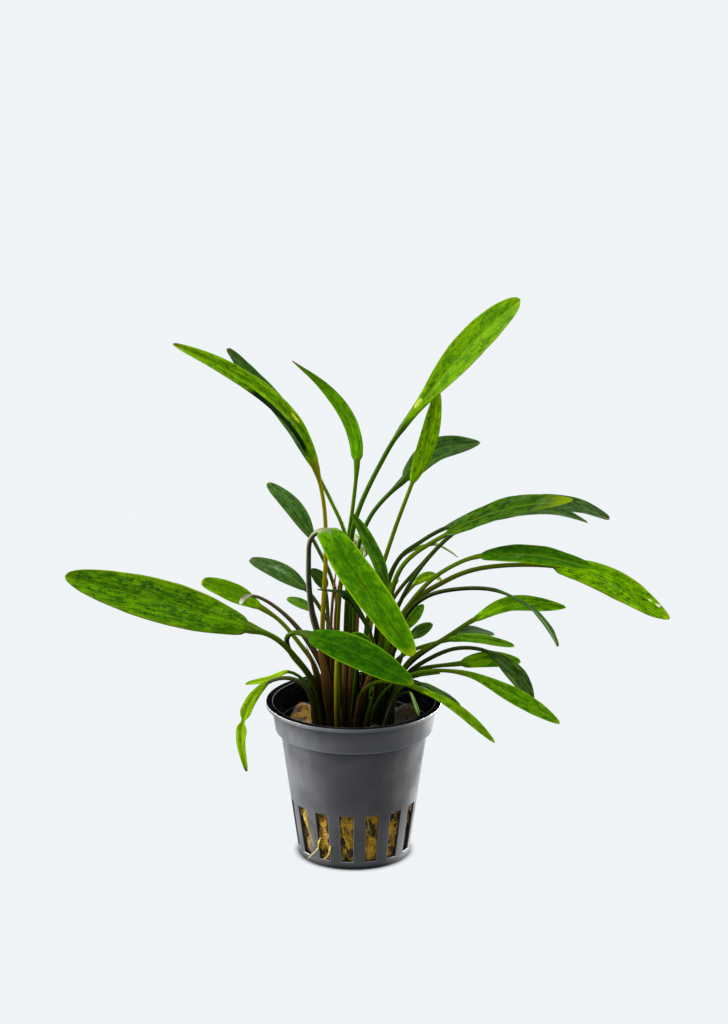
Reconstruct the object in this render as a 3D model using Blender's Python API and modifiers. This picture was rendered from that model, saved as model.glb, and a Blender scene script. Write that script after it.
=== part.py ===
"""Potted cryptocoryne: an aquarium plant in its net pot.

Metres in the scene, millimetres in the named sizes below. +Z is up, and the
plant is looked at along +Y, with +X to the right. The origin is the middle of
the pot's underside.
"""

import math
from collections import namedtuple

import bmesh
import bpy
from mathutils import Vector

MM = 0.001
GAP = 0.3  # kept between pieces that touch

# The pot: a standard net pot for water plants
POT_HEIGHT = 50.0
RIM_RADIUS = 27.5
RIM_DEPTH = 1.2
COLLAR_TOP_RADIUS = 25.7
COLLAR_FOOT_RADIUS = 24.6
COLLAR_FOOT = 41.0
STEP_DEPTH = 0.8
BASE_RADIUS = 17.4
FLARE = 0.138  # growth of the body's radius for each millimetre of height
WALL = 0.8
FLOOR = 1.2
FOOT_CHAMFER = 0.5
POT_STEPS = 45

# The slots round the foot, and the drains in the floor
SLOTS = 15
SLOT_OFFSET = -6.7  # degrees from the front to the middle of the first slot
SLOT_FOOT, SLOT_TOP = 2.6, 18.5
SLOT_FOOT_WIDTH, SLOT_TOP_WIDTH = 3.6, 4.5
DRAINS = 6
DRAIN_INNER, DRAIN_OUTER, DRAIN_WIDTH = 5.5, 13.0, 2.4

# The plug of rockwool
WOOL_TOP = 42.2
WOOL_STEPS = 24
WOOL_LUMPS = ((-16, 12, 3.6), (17, 11, 3.4), (-3, -17, 0.5), (1, 16, 1.6))  # x, y, height
LUMP_REACH = 5.5

# The crowns, where the leaves start, and the ring of leaf feet round each
CROWNS = {
    "left": (-9.0, 0.0),
    "front": (-0.5, -5.5),
    "middle": (-1.0, 4.5),
    "right": (8.5, -2.5),
    "back": (8.0, 6.5),
    "near": (6.5, -11.0),
}
CROWN_RADIUS, CROWN_HEIGHT = 2.0, 3.6
FEET_RADIUS = 3.2
FEET_HEIGHT = WOOL_TOP + 0.6

# Leaves: the stalk is round, the blade a shallow gutter with thin edges
BLADE_STOPS = (0.0, 0.08, 0.22, 0.4, 0.58, 0.76, 0.9, 1)
BLADE_THICK, EDGE_THICK = 0.5, 0.2
TIP_WIDTH = 0.4
GUTTER = 0.1  # how far a blade's edges rise, as a share of its half width
ROOT_RADIUS = 0.28

# A leaf stands at a crown, at an angle in degrees from +X towards +Y. Its stalk
# runs through the stalk points to the first blade point, the neck, and its blade
# ends at the last. "faces" is the way that the blade's upper side looks, and
# "belly" is how far along the blade is widest.
Leaf = namedtuple("Leaf", "crown at stalk blade width faces look belly", defaults=(0.45,))

LEAVES = {
    "leaf_left_long": Leaf(
        "left", 260, ((-12, -4.6, 56), (-18.2, -8, 66.9), (-24.5, -13.5, 75.1)),
        ((-30.5, -16, 78.6), (-52, -23, 87.7), (-66, -27, 93), (-86, -34, 101)), 13.4, (0, -1, 0.6), "bright"),
    "leaf_left_yellow": Leaf(
        "left", 100, ((-12, 4.5, 59), (-17, 5.5, 66.7), (-23.5, 8, 73.7)),
        ((-29.5, 9, 77.7), (-40, 13, 82), (-48, 16, 84)), 6.4, (0, -1, 0.9), "lime"),
    "leaf_left_rolled": Leaf(
        "left", 300, ((-8.6, -4, 59), (-12.8, -5, 68.7), (-19.7, -5.7, 78.3), (-26.5, -7.4, 84.6)),
        ((-31, -9, 87), (-33.3, -10, 86.7), (-35, -11, 85)), 2.8, (-0.2, -0.3, 1), "brown"),
    "leaf_left_dark_upper": Leaf(
        "middle", 200, ((-5.5, 5, 62), (-5.8, 8, 83.5)),
        ((-12.8, 13.5, 98.4), (-18.8, 20, 106.6), (-27.4, 30, 112.3)), 5.4, (0.3, -1, 0.6), "dark"),
    "leaf_left_dark_glossy": Leaf(
        "front", 160, ((-6, -3, 60), (-7, 3, 72), (-11, 6, 79)),
        ((-15, 8, 83.7), (-24, 15, 87.7), (-33, 22, 89.3)), 5.6, (0.2, -1, 0.9), "dark"),
    "leaf_left_dark_small": Leaf(
        "left", 60, ((-8, 4.5, 62), (-8.3, 8, 78)),
        ((-9, 9, 83.5), (-10.5, 10, 86.5), (-13.5, 11, 89.5)), 3.2, (0.3, -1, 0.5), "dark"),
    "leaf_left_small_pale": Leaf(
        "middle", 160, ((-8, 8, 56), (-11, 12, 68)),
        ((-13, 14, 74.5), (-16.5, 18, 75.8), (-21.5, 24, 75.8)), 3.2, (0, -1, 0.6), "bright"),
    "leaf_rim_left_short": Leaf(
        "left", 140, ((-13, 2.3, 50), (-15, 2.5, 55)),
        ((-19, 3, 57.5), (-25, 3, 55.7), (-32, 3, 54)), 2.2, (0, -0.6, 1), "lime"),
    "leaf_rim_left_drooping": Leaf(
        "left", 220, ((-12.5, -3.5, 50), (-15.2, -5.5, 56.5), (-20.5, -8, 60)),
        ((-26.6, -9, 58.8), (-32.3, -11, 52.6), (-34.6, -12, 42), (-33.2, -13, 31)), 3.5, (-0.6, -1, 0.2), "lime"),
    "leaf_top_left_bright": Leaf(
        "left", 20, ((-8.5, 0.8, 56), (-9.7, -0.5, 72), (-8.6, -2, 100), (-9.2, -3, 115)),
        ((-11.9, -4, 127.5), (-17, -8, 140.2), (-27, -12.5, 152), (-40, -17, 161.7), (-53.4, -21, 169)), 5.0,
        (0.3, -1, 0.7), "bright"),
    "leaf_top_left_dark": Leaf(
        "middle", 280, ((0, 2.5, 60), (0, 4, 82), (-2.8, 5, 103), (-7, 6, 113)),
        ((-12.3, 7, 123.5), (-20.6, 15, 137), (-31.8, 21, 149.2), (-38.6, 24, 157)), 5.4, (0.8, -1, 0.3), "dark"),
    "leaf_top_middle": Leaf(
        "middle", 240, ((-5, 1.5, 58), (-4.5, 2, 83), (-0.3, 2.5, 112)),
        ((1, 4, 126.5), (0.4, 6, 133.3), (-2.7, 9, 140.5), (-9.8, 12, 148.6), (-19, 14, 155.5)), 5.0, (-0.5, -1, 0.1),
        "bright", 0.38),
    "leaf_top_right_tall": Leaf(
        "front", 120, ((-2.4, -2.3, 62), (-2, -1, 82), (0.1, 0.3, 107), (9.4, -0.5, 129)),
        ((18, -3, 143), (36, -15, 168.5), (49, -24, 183)), 9.6, (-0.4, -1, 0.5), "bright", 0.6),
    "leaf_top_right_dark": Leaf(
        "middle", 0, ((0.5, 5, 60), (0, 9, 90), (5, 12, 106)),
        ((16, 17, 117.2), (25, 22, 124.7), (40, 32, 125)), 7.6, (-0.3, -1, 0.5), "dark"),
    "leaf_top_right_narrow": Leaf(
        "middle", 40, ((3, 6, 54), (4.5, 6, 75), (12, 5, 102)),
        ((18, 6, 118.7), (22.9, 8, 132), (26, 10, 147)), 5.8, (0.2, -1, 0.2), "lime"),
    "leaf_front_upper": Leaf(
        "left", 340, ((-8, -1.5, 62), (-12.8, -3, 79), (-13.8, -9.5, 98), (-12.6, -13.4, 106.3)),
        ((-8.6, -17, 109.4), (-0.5, -32, 103.5), (9.5, -47, 93.5), (17.6, -58, 84)), 12.8, (0.3, -0.8, 1), "bright"),
    "leaf_front_lower": Leaf(
        "left", 180, ((-13.5, -1, 57), (-19.5, -6, 67.5), (-20.6, -9.5, 73.5), (-17, -12.5, 76)),
        ((-12.5, -15, 75.3), (0, -26, 74.2), (18, -40, 69)), 11.4, (0, -0.9, 1), "mid"),
    "leaf_front_hidden": Leaf(
        "front", 200, ((-4, -10, 55), (-4, -13, 67)),
        ((-2.5, -14, 73.5), (1, -15, 75.5), (5.5, -17, 74.5)), 3.4, (0, -1, 0.6), "mid"),
    "leaf_middle_edge_on": Leaf(
        "front", 0, ((5, -6.5, 55), (6.5, -7, 64)),
        ((5.3, -7.4, 74), (-1.1, -8.5, 85.7), (-4.2, -9.5, 88), (-11, -12.5, 90.3)), 2.4, (-1, -0.5, 0.7), "dark", 0.3),
    "leaf_middle_upright": Leaf(
        "front", 40, ((4.5, -2, 54), (8, -1.5, 68)),
        ((10, -1.5, 87), (7.3, -3, 98), (-0.5, -4, 112)), 4.2, (1, -0.8, 0.2), "dark"),
    "leaf_middle_crumpled": Leaf(
        "middle", 120, ((-3, 9.5, 57), (-1, 14, 76)),
        ((3, 18, 90), (2.5, 21, 92.5), (-1, 25, 94)), 4.4, (0, -1, 0.3), "lime"),
    "leaf_middle_tip": Leaf(
        "middle", 80, ((0.5, 9, 57), (5, 13, 70)),
        ((9, 16, 79), (11, 18, 81), (14, 20, 83)), 2.2, (0, -1, 0.4), "lime"),
    "leaf_right_high_front": Leaf(
        "right", 200, ((6.5, -3.5, 56), (10, -4, 78), (15, -7, 96)),
        ((28, -10, 107.3), (45.5, -19, 118), (65.3, -30, 123.7)), 7.6, (0, -0.5, 1), "bright"),
    "leaf_right_high_back": Leaf(
        "back", 200, ((6, 5, 55), (8.6, 4, 81), (14.3, 5, 95), (20.5, 5.5, 99.8)),
        ((28.5, 6, 104.3), (56, 10, 112.3), (70, 12, 111), (80, 14, 105)), 5.6, (0, -0.5, 1), "dark"),
    "leaf_right_high_dark": Leaf(
        "right", 120, ((8, 0.5, 56), (12, 0.5, 76), (22, 0, 95)),
        ((36.4, -2, 108.4), (54, -4, 112), (71.7, -6, 109.9)), 4.4, (0, -0.4, 1), "dark"),
    "leaf_right_high_hidden": Leaf(
        "back", 240, ((7, 3, 56), (10.5, 2.5, 79), (21, 2.5, 93.5)),
        ((32, 3, 104.5), (43, 2, 110), (54, 1, 112.5)), 4.4, (0, -0.4, 1), "mid"),
    "leaf_right_pale_thin": Leaf(
        "back", 120, ((6, 10.5, 55), (9, 11, 77), (15, 16, 92)),
        ((25, 18, 95.5), (29, 22, 92.8), (33, 26, 89)), 3.4, (0, -0.4, 1), "lime"),
    "leaf_right_arched_small": Leaf(
        "back", 160, ((6, 8, 54), (10, 10, 71)),
        ((19, 14, 83.5), (24, 17, 85.5), (28, 20, 83)), 3.6, (0, -0.6, 1), "lime"),
    "leaf_right_mid_front": Leaf(
        "right", 240, ((8, -5.5, 55), (13.5, -6.5, 77), (23, -8, 91), (32, -10, 97.8)),
        ((38.8, -13, 100.7), (50.4, -19, 103), (60, -24, 103.2), (70.3, -28, 102.3)), 6.4, (0, -0.6, 1), "bright"),
    "leaf_right_mid_long": Leaf(
        "right", 80, ((10.5, 0, 58), (16, 0, 79.5), (28, -0.5, 88.9), (39, -1.5, 93.5)),
        ((56.2, -3, 95.7), (77, -5, 92), (97.3, -8, 79)), 8.6, (0, -0.8, 1), "bright", 0.5),
    "leaf_right_dark_arch": Leaf(
        "right", 280, ((10, -7, 55), (15.6, -9.5, 80), (22, -10.5, 87), (31, -12, 90)),
        ((43, -16, 91), (52.5, -24.5, 88.7), (57.7, -33, 85.5), (61, -40, 81)), 5.0, (0.6, 0.3, 1), "dark"),
    "leaf_right_low_flat": Leaf(
        "right", 320, ((12.5, -5, 54), (17, -5.5, 64.5), (28, -6.5, 72.4)),
        ((37.3, -8, 79), (48, -9.5, 84.1), (65, -12, 84)), 5.4, (0, -0.8, 1), "bright", 0.5),
    "leaf_right_low_pale": Leaf(
        "back", 280, ((9.5, 3, 53), (14, 5, 62)),
        ((30, 10, 67), (39, 14, 66), (50.7, 18, 61.8)), 4.0, (0, -0.5, 1), "bright"),
    "leaf_right_low_black": Leaf(
        "back", 320, ((12, 4.7, 52), (18, 7, 60)),
        ((31, 15, 65.6), (37, 19, 65.8), (45, 25, 63)), 3.6, (0, -0.4, 1), "dark"),
    "leaf_right_dark_drooping": Leaf(
        "right", 0, ((12.5, -2, 51), (16.5, -2, 59), (23, -2, 64), (32, -3, 68)),
        ((40, -4, 67.5), (49.5, -8, 61), (55.8, -10, 53.7)), 5.0, (0.5, -1, 0.8), "dark", 0.55),
    "leaf_right_low_light": Leaf(
        "back", 0, ((13, 7, 52), (19.5, 6.5, 57.5)),
        ((33.6, 6, 60), (43, 8, 60.6), (52, 10, 59.5)), 5.6, (0, -0.9, 1), "bright"),
    "leaf_right_low_long": Leaf(
        "near", 40, ((11.5, -9, 53), (16, -9.5, 60.5), (24, -10.5, 63.2)),
        ((35.2, -13, 63), (44.8, -19, 60.4), (54.4, -25, 56.7), (62.5, -30, 53)), 6.2, (0, -0.8, 1), "bright", 0.55),
    "leaf_rim_right_drooping": Leaf(
        "front", 320, ((2, -11.5, 55.5), (7, -15, 61), (14, -18, 61.7)),
        ((21, -20, 60), (32, -27, 55.5), (42.7, -34, 48)), 4.2, (0.1, -0.9, 1), "bright", 0.55),
    "leaf_rim_right_dark": Leaf(
        "near", 320, ((11, -13, 51), (15, -12.5, 58.5)),
        ((21, -13.5, 60), (27.5, -15, 57.2), (33, -17, 54)), 3.2, (0.3, -0.3, 1), "dark"),
    "leaf_right_short_upper": Leaf(
        "back", 80, ((9.5, 11, 54), (13, 14, 62)),
        ((16, 16, 68), (18.5, 18, 71), (22, 20, 75)), 4.2, (-0.3, -1, 0.4), "mid"),
    "leaf_right_short_lower": Leaf(
        "back", 40, ((12.5, 10, 52), (15.5, 13.5, 61)),
        ((18, 16, 65), (21, 19, 66.5), (25, 22, 68)), 4.0, (0, -1, 0.5), "dark"),
    "leaf_right_low_bit": Leaf(
        "right", 40, ((13, 1, 51), (16, 2, 55.5)),
        ((19, 2.5, 56.8), (23, 2.5, 57.6), (27, 2.5, 58)), 1.8, (0, -0.5, 1), "mid"),
    "leaf_in_pot": Leaf(
        "near", 0, ((12, -11, 50), (14.5, -10.5, 54.3)),
        ((17, -10, 55.5), (19.3, -9.7, 53), (20.3, -9.5, 48)), 1.7, (0.8, -0.6, 0.5), "lime", 0.6),
    "leaf_young_spear": Leaf(
        "near", 160, ((4, -10, 48), (5, -10.2, 52)),
        ((5.2, -10.2, 54), (5.4, -10.4, 56), (5.8, -10.6, 59)), 1.6, (0, -1, 0.1), "lime"),
}

# The roots that hang out of the slots, from inside the slot to the loose end
ROOTS = {
    "root_left_long": (
        (-15, -11.4, 17), (-15.5, -12.7, 16.2), (-14.4, -14.4, 13.5), (-13.6, -14.3, 10.5), (-12.6, -14.1, 6.6)),
    "root_left_bent": ((-10.3, -14.6, 9.6), (-10.9, -15.8, 8.6), (-11.1, -15.8, 6.8), (-14.2, -14.2, 2.6)),
    "root_front": ((-8.1, -16, 10), (-8.4, -17.1, 9.6), (-7.1, -17.9, 7.2), (-7.6, -17.7, 5.2), (-9.1, -17.3, 3.7)),
}

# Colours, roughness and metallic value of each look
LOOKS = {
    "pot_plastic": ((0.07, 0.08, 0.09, 1), 0.45, 0),
    "rockwool": ((0.33, 0.19, 0.04, 1), 0.95, 0),
    "crown": ((0.16, 0.12, 0.03, 1), 0.7, 0),
    "root": ((0.72, 0.62, 0.25, 1), 0.6, 0),
    "bright": ((0.13, 0.33, 0.01, 1), 0.4, 0),
    "mid": ((0.07, 0.24, 0.02, 1), 0.4, 0),
    "dark": ((0.03, 0.11, 0.03, 1), 0.35, 0),
    "lime": ((0.36, 0.48, 0.01, 1), 0.45, 0),
    "brown": ((0.11, 0.07, 0.02, 1), 0.5, 0),
}


def clear_scene():
    for thing in list(bpy.data.objects):
        bpy.data.objects.remove(thing, do_unlink=True)


def new_collection(name):
    collection = bpy.data.collections.new(name)
    bpy.context.scene.collection.children.link(collection)
    return collection


def material(look):
    """The Principled material of a look, made once."""
    found = bpy.data.materials.get(look)
    if found:
        return found
    colour, roughness, metallic = LOOKS[look]
    made = bpy.data.materials.new(look)
    made.use_nodes = True
    shader = made.node_tree.nodes["Principled BSDF"]
    shader.inputs["Base Color"].default_value = colour
    shader.inputs["Roughness"].default_value = roughness
    shader.inputs["Metallic"].default_value = metallic
    made.diffuse_color = colour
    return made


def add_mesh(name, bm, look, collection):
    mesh = bpy.data.meshes.new(name)
    bm.to_mesh(mesh)
    bm.free()
    thing = bpy.data.objects.new(name, mesh)
    collection.objects.link(thing)
    if look:
        mesh.materials.append(material(look))
    return thing


def smooth(thing, angle=40):
    thing.data.shade_smooth()
    thing.data.set_sharp_from_angle(angle=math.radians(angle))


def turned(name, profile, steps, look, collection):
    """A solid of revolution, from (radius, height) points that start and end on the axis."""
    bm = bmesh.new()
    verts = [bm.verts.new((r * MM, 0, z * MM)) for r, z in profile]
    for a, b in zip(verts, verts[1:]):
        bm.edges.new((a, b))
    mesh = bpy.data.meshes.new(name)
    bm.to_mesh(mesh)
    bm.free()
    thing = bpy.data.objects.new(name, mesh)
    collection.objects.link(thing)
    mesh.materials.append(material(look))
    screw = thing.modifiers.new("Screw", "SCREW")
    screw.steps = screw.render_steps = steps
    screw.use_merge_vertices = True
    screw.merge_threshold = 0.00001
    screw.use_smooth_shade = False
    return thing


def baked(thing):
    """The object with its modifiers applied to its mesh."""
    depsgraph = bpy.context.evaluated_depsgraph_get()
    mesh = bpy.data.meshes.new_from_object(thing.evaluated_get(depsgraph))
    thing.modifiers.clear()
    thing.data = mesh
    return thing


def body_radius(height):
    """The outer radius of the pot's tapered body."""
    return BASE_RADIUS + FLARE * height


def pot_profile():
    """Up the inside from the middle of the floor, over the rim and down the outside."""
    inner_foot = body_radius(FLOOR) - WALL
    inner_step = body_radius(COLLAR_FOOT) - WALL
    collar_inner = COLLAR_FOOT_RADIUS - WALL
    rim_inner = COLLAR_TOP_RADIUS - WALL + 0.5
    lip_foot = POT_HEIGHT - RIM_DEPTH
    step_foot = COLLAR_FOOT - STEP_DEPTH
    return (
        (0, FLOOR), (inner_foot, FLOOR), (inner_step, COLLAR_FOOT), (collar_inner, COLLAR_FOOT + 1.6),
        (COLLAR_TOP_RADIUS - WALL, lip_foot - 0.4), (rim_inner, lip_foot), (rim_inner, POT_HEIGHT - 0.3),
        (rim_inner + 0.3, POT_HEIGHT), (RIM_RADIUS - 0.4, POT_HEIGHT), (RIM_RADIUS, POT_HEIGHT - 0.4),
        (RIM_RADIUS, lip_foot), (COLLAR_TOP_RADIUS, lip_foot), (COLLAR_FOOT_RADIUS, COLLAR_FOOT),
        (body_radius(step_foot), step_foot), (body_radius(FOOT_CHAMFER), FOOT_CHAMFER),
        (BASE_RADIUS - FOOT_CHAMFER, 0), (0, 0),
    )


def slot_cutters(cutters):
    """One tall wedge for each slot, wider at its top, in one mesh."""
    bm = bmesh.new()
    inner, outer = BASE_RADIUS - 3.5, BASE_RADIUS + 5
    for k in range(SLOTS):
        turn = math.radians(-90 + SLOT_OFFSET + 360 / SLOTS * k)
        out = Vector((math.cos(turn), math.sin(turn), 0))
        along = Vector((-out.y, out.x, 0))
        cube = bmesh.ops.create_cube(bm, size=1)["verts"]
        for v in cube:
            top = v.co.z > 0
            width = SLOT_TOP_WIDTH if top else SLOT_FOOT_WIDTH
            height = SLOT_TOP if top else SLOT_FOOT
            place = out * (outer if v.co.x > 0 else inner) + along * width * v.co.y
            v.co = (place + Vector((0, 0, height))) * MM
    return cutter("slot_cutter", bm, cutters)


def drain_cutters(cutters):
    """Radial drains through the floor, clear of its middle."""
    bm = bmesh.new()
    for k in range(DRAINS):
        turn = math.radians(360 / DRAINS * k)
        out = Vector((math.cos(turn), math.sin(turn), 0))
        along = Vector((-out.y, out.x, 0))
        for v in bmesh.ops.create_cube(bm, size=1)["verts"]:
            reach = DRAIN_OUTER if v.co.x > 0 else DRAIN_INNER
            height = (FLOOR + 1) if v.co.z > 0 else -1
            v.co = (out * reach + along * DRAIN_WIDTH * v.co.y + Vector((0, 0, height))) * MM
    return cutter("drain_cutter", bm, cutters)


def cutter(name, bm, cutters):
    thing = add_mesh(name, bm, None, cutters)
    thing.hide_render = True
    thing.display_type = "WIRE"
    return thing


def make_pot(parts, cutters):
    pot = turned("pot", pot_profile(), POT_STEPS, "pot_plastic", parts)
    for cut in (slot_cutters(cutters), drain_cutters(cutters)):
        boolean = pot.modifiers.new(cut.name, "BOOLEAN")
        boolean.operation = "DIFFERENCE"
        boolean.object = cut
    return pot


def wool_height(x, y):
    """The height of the plug's top: level, with a few lumps."""
    height = WOOL_TOP
    for lump_x, lump_y, lump in WOOL_LUMPS:
        reach = min(1, math.hypot(x - lump_x, y - lump_y) / LUMP_REACH)
        height += lump * 0.5 * (1 + math.cos(math.pi * reach))
    return height


def make_rockwool(parts):
    """The plug, a turned block inside the pot with a lumpy top."""
    foot, shoulder = FLOOR + GAP, COLLAR_FOOT - 0.5
    inside = WALL + GAP + 0.1  # the facets of the pot's wall stand a little inside its circle
    edge = body_radius(shoulder) - inside
    rings = (0.93, 0.76, 0.56, 0.32)
    profile = [(0, WOOL_TOP)] + [(edge * share, WOOL_TOP) for share in reversed(rings)]
    profile += [(edge, shoulder), (body_radius(foot) - inside, foot), (0, foot)]
    plug = baked(turned("rockwool", profile, WOOL_STEPS, "rockwool", parts))
    for v in plug.data.vertices:
        if v.co.z > (WOOL_TOP - 0.1) * MM:
            v.co.z = wool_height(v.co.x / MM, v.co.y / MM) * MM
    smooth(plug)
    return plug


def make_crown(name, place, parts):
    """A low knob that stands on the plug."""
    bm = bmesh.new()
    bmesh.ops.create_uvsphere(bm, u_segments=10, v_segments=6, radius=1)
    middle = WOOL_TOP + GAP + CROWN_HEIGHT / 2
    for v in bm.verts:
        size = Vector((CROWN_RADIUS, CROWN_RADIUS, CROWN_HEIGHT / 2))
        v.co = (v.co * size + Vector((*place, middle))) * MM
    smooth(add_mesh(f"crown_{name}", bm, "crown", parts))


def smooth_line(points, steps=24):
    """A curve through the points, and the index in it of each of them."""
    points = [Vector(p) for p in points]
    ends = [points[0] * 2 - points[1], *points, points[-1] * 2 - points[-2]]
    line, stations = [], []
    for a, b, c, d in zip(ends, ends[1:], ends[2:], ends[3:]):
        stations.append(len(line))
        knots = [0]
        for p, q in ((a, b), (b, c), (c, d)):
            knots.append(knots[-1] + math.sqrt((q - p).length))
        for k in range(steps):
            t = knots[1] + (knots[2] - knots[1]) * k / steps
            line.append(between(a, b, c, d, knots, t))
    stations.append(len(line))
    line.append(points[-1])
    return line, stations


def between(a, b, c, d, knots, t):
    """A point of the centripetal Catmull-Rom curve from b to c."""
    k0, k1, k2, k3 = knots
    ab = a.lerp(b, (t - k0) / (k1 - k0))
    bc = b.lerp(c, (t - k1) / (k2 - k1))
    cd = c.lerp(d, (t - k2) / (k3 - k2))
    left = ab.lerp(bc, (t - k0) / (k2 - k0))
    right = bc.lerp(cd, (t - k1) / (k3 - k1))
    return left.lerp(right, (t - k1) / (k2 - k1))


def sample(line, first, last, shares):
    """Places and directions at these shares of the length between two indices of a line."""
    run = [0]
    for a, b in zip(line[first:last], line[first + 1 : last + 1]):
        run.append(run[-1] + (b - a).length)
    found = []
    for share in shares:
        reach = share * run[-1]
        k = max(j for j in range(len(run)) if run[j] <= reach + 1e-9)
        k = min(k, len(run) - 2)
        a, b = line[first + k], line[first + k + 1]
        place = a.lerp(b, (reach - run[k]) / (run[k + 1] - run[k]))
        before, after = line[max(first + k - 1, 0)], line[min(first + k + 2, len(line) - 1)]
        found.append((place, (after - before).normalized()))
    return found


def stalk_radius(leaf):
    return 0.5 + 0.028 * leaf.width


def blade_half(leaf, share):
    """Half the blade's width at a share of its length from the neck."""
    power = math.log(0.5) / math.log(leaf.belly)
    swell = math.sin(math.pi * share**power) ** 0.65 if 0 < share < 1 else 0
    at_end = stalk_radius(leaf) * (1 - share) + TIP_WIDTH / 2 * share
    return at_end + (leaf.width / 2 - at_end) * swell


def stalk_ring(leaf):
    """Six (across, up) points of the round stalk, from its left top round to its left foot."""
    radius = stalk_radius(leaf)
    turns = (150, 90, 30, -30, -90, -150)
    return [(radius * math.cos(math.radians(t)), radius * math.sin(math.radians(t))) for t in turns]


def blade_ring(leaf, share):
    """Six (across, up) points of the blade's section, in the order of the stalk's."""
    half = blade_half(leaf, share)
    rise = half * GUTTER * min(1, 4 * share)
    fade = min(1, 3 * share)
    thick = (stalk_radius(leaf) * (1 - fade) + BLADE_THICK / 2 * fade) * (1 - 0.5 * share)
    edge = min(thick, EDGE_THICK / 2 + (1 - fade) * thick * 0.5)
    return [(-half, rise + edge), (0, thick), (half, rise + edge), (half, rise - edge), (0, -thick), (-half, rise - edge)]


def leaf_foot(leaf):
    x, y = CROWNS[leaf.crown]
    turn = math.radians(leaf.at)
    return (x + FEET_RADIUS * math.cos(turn), y + FEET_RADIUS * math.sin(turn), FEET_HEIGHT)


def make_leaf(name, leaf, parts):
    """A loft from the foot up the stalk and along the blade to its tip."""
    line, stations = smooth_line([leaf_foot(leaf), *leaf.stalk, *leaf.blade])
    neck, end = stations[1 + len(leaf.stalk)], len(line) - 1
    stalk = [(line[k], (line[k + 1] - line[max(k - 1, 0)]).normalized()) for k in stations if k < neck]
    blade = sample(line, neck, end, BLADE_STOPS)
    faces = Vector(leaf.faces)
    rings, across = [], None
    for share, (place, way) in reversed(list(zip(BLADE_STOPS, blade))):
        across = way.cross(faces).normalized()
        rings.append((place, way, across, blade_ring(leaf, share)))
    for place, way in reversed(stalk):
        across = (across - way * across.dot(way)).normalized()
        rings.append((place, way, across, stalk_ring(leaf)))
    bm = bmesh.new()
    loft = []
    for place, way, across, section in reversed(rings):
        up = across.cross(way)
        loft.append([bm.verts.new((place + across * a + up * b) * MM) for a, b in section])
    for low, high in zip(loft, loft[1:]):
        for k in range(len(low)):
            n = (k + 1) % len(low)
            bm.faces.new((low[k], low[n], high[n], high[k]))
    bm.faces.new(loft[0])
    bm.faces.new(loft[-1])
    bmesh.ops.triangulate(bm, faces=bm.faces)
    bmesh.ops.recalc_face_normals(bm, faces=bm.faces)
    smooth(add_mesh(name, bm, leaf.look, parts), 60)


def make_root(name, points, parts):
    """A thin root, a tube along a smooth line."""
    line, _ = smooth_line(points, 4)
    curve = bpy.data.curves.new(name, "CURVE")
    curve.dimensions = "3D"
    curve.bevel_depth = ROOT_RADIUS * MM
    curve.bevel_resolution = 1
    curve.use_fill_caps = True
    spline = curve.splines.new("POLY")
    spline.points.add(len(line) - 1)
    for point, place in zip(spline.points, line):
        point.co = (*(place * MM), 1)
    curve.materials.append(material("root"))
    parts.objects.link(bpy.data.objects.new(name, curve))


def main():
    clear_scene()
    parts = new_collection("Potted cryptocoryne")
    cutters = new_collection("Cutters")
    make_pot(parts, cutters)
    make_rockwool(parts)
    for name, place in CROWNS.items():
        make_crown(name, place, parts)
    for name, leaf in LEAVES.items():
        make_leaf(name, leaf, parts)
    for name, points in ROOTS.items():
        make_root(name, points, parts)


main()
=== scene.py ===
# %% [markdown]
# # A potted cryptocoryne
# This is a water plant as a grower sells it: some forty long leaves, a brown plug
# of rockwool, and a small dark net pot with slots round its foot. The lesson
# grows it round a frame of plain solids that is already packed. Each cell makes
# one thing and prints what it made. Sizes are in millimetres until a mesh is
# written, because that is how the pot and the leaves were measured.

# %% Load the frame
import math
from collections import namedtuple

import bmesh
import bpy
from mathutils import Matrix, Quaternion, Vector, noise


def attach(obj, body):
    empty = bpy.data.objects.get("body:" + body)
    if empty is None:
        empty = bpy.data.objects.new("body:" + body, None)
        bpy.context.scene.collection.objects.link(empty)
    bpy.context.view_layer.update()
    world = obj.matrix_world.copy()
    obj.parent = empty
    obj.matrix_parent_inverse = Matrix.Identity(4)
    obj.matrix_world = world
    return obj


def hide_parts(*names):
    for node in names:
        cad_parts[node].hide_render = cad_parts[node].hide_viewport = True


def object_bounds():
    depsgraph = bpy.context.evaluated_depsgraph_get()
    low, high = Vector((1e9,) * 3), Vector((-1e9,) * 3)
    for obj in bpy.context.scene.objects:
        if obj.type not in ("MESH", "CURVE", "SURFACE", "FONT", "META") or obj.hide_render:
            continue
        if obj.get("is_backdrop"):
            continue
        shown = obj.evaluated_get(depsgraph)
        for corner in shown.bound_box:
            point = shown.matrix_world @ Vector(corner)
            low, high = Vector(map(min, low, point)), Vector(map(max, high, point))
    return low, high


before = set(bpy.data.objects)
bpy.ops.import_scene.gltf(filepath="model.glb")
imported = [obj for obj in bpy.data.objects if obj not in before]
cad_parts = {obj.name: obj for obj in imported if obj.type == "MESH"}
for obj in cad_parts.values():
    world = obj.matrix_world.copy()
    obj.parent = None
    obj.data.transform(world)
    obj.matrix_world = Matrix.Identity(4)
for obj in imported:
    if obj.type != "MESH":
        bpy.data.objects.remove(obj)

cad_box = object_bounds()
print("frame:", len(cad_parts), "solids, box", [[round(x, 4) for x in corner] for corner in cad_box])

# %% [markdown]
# ## The camera, the floor and the light
# The photograph looks down on the plant at 16 degrees through a long lens, so
# the near and far leaves keep almost the same scale. A long lens a metre away
# does the same here. The plant stands on a plain pale floor, under a soft room
# and a sun with a wide disc, which lights all of the floor evenly as a small lamp
# can't. A weak light on each side lifts the leaves. The pot's matt plastic is far
# brighter at its edges than the leaves beside it, so two more lights from the
# same sides shine on the pot alone, and only its sheen takes them.

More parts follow.
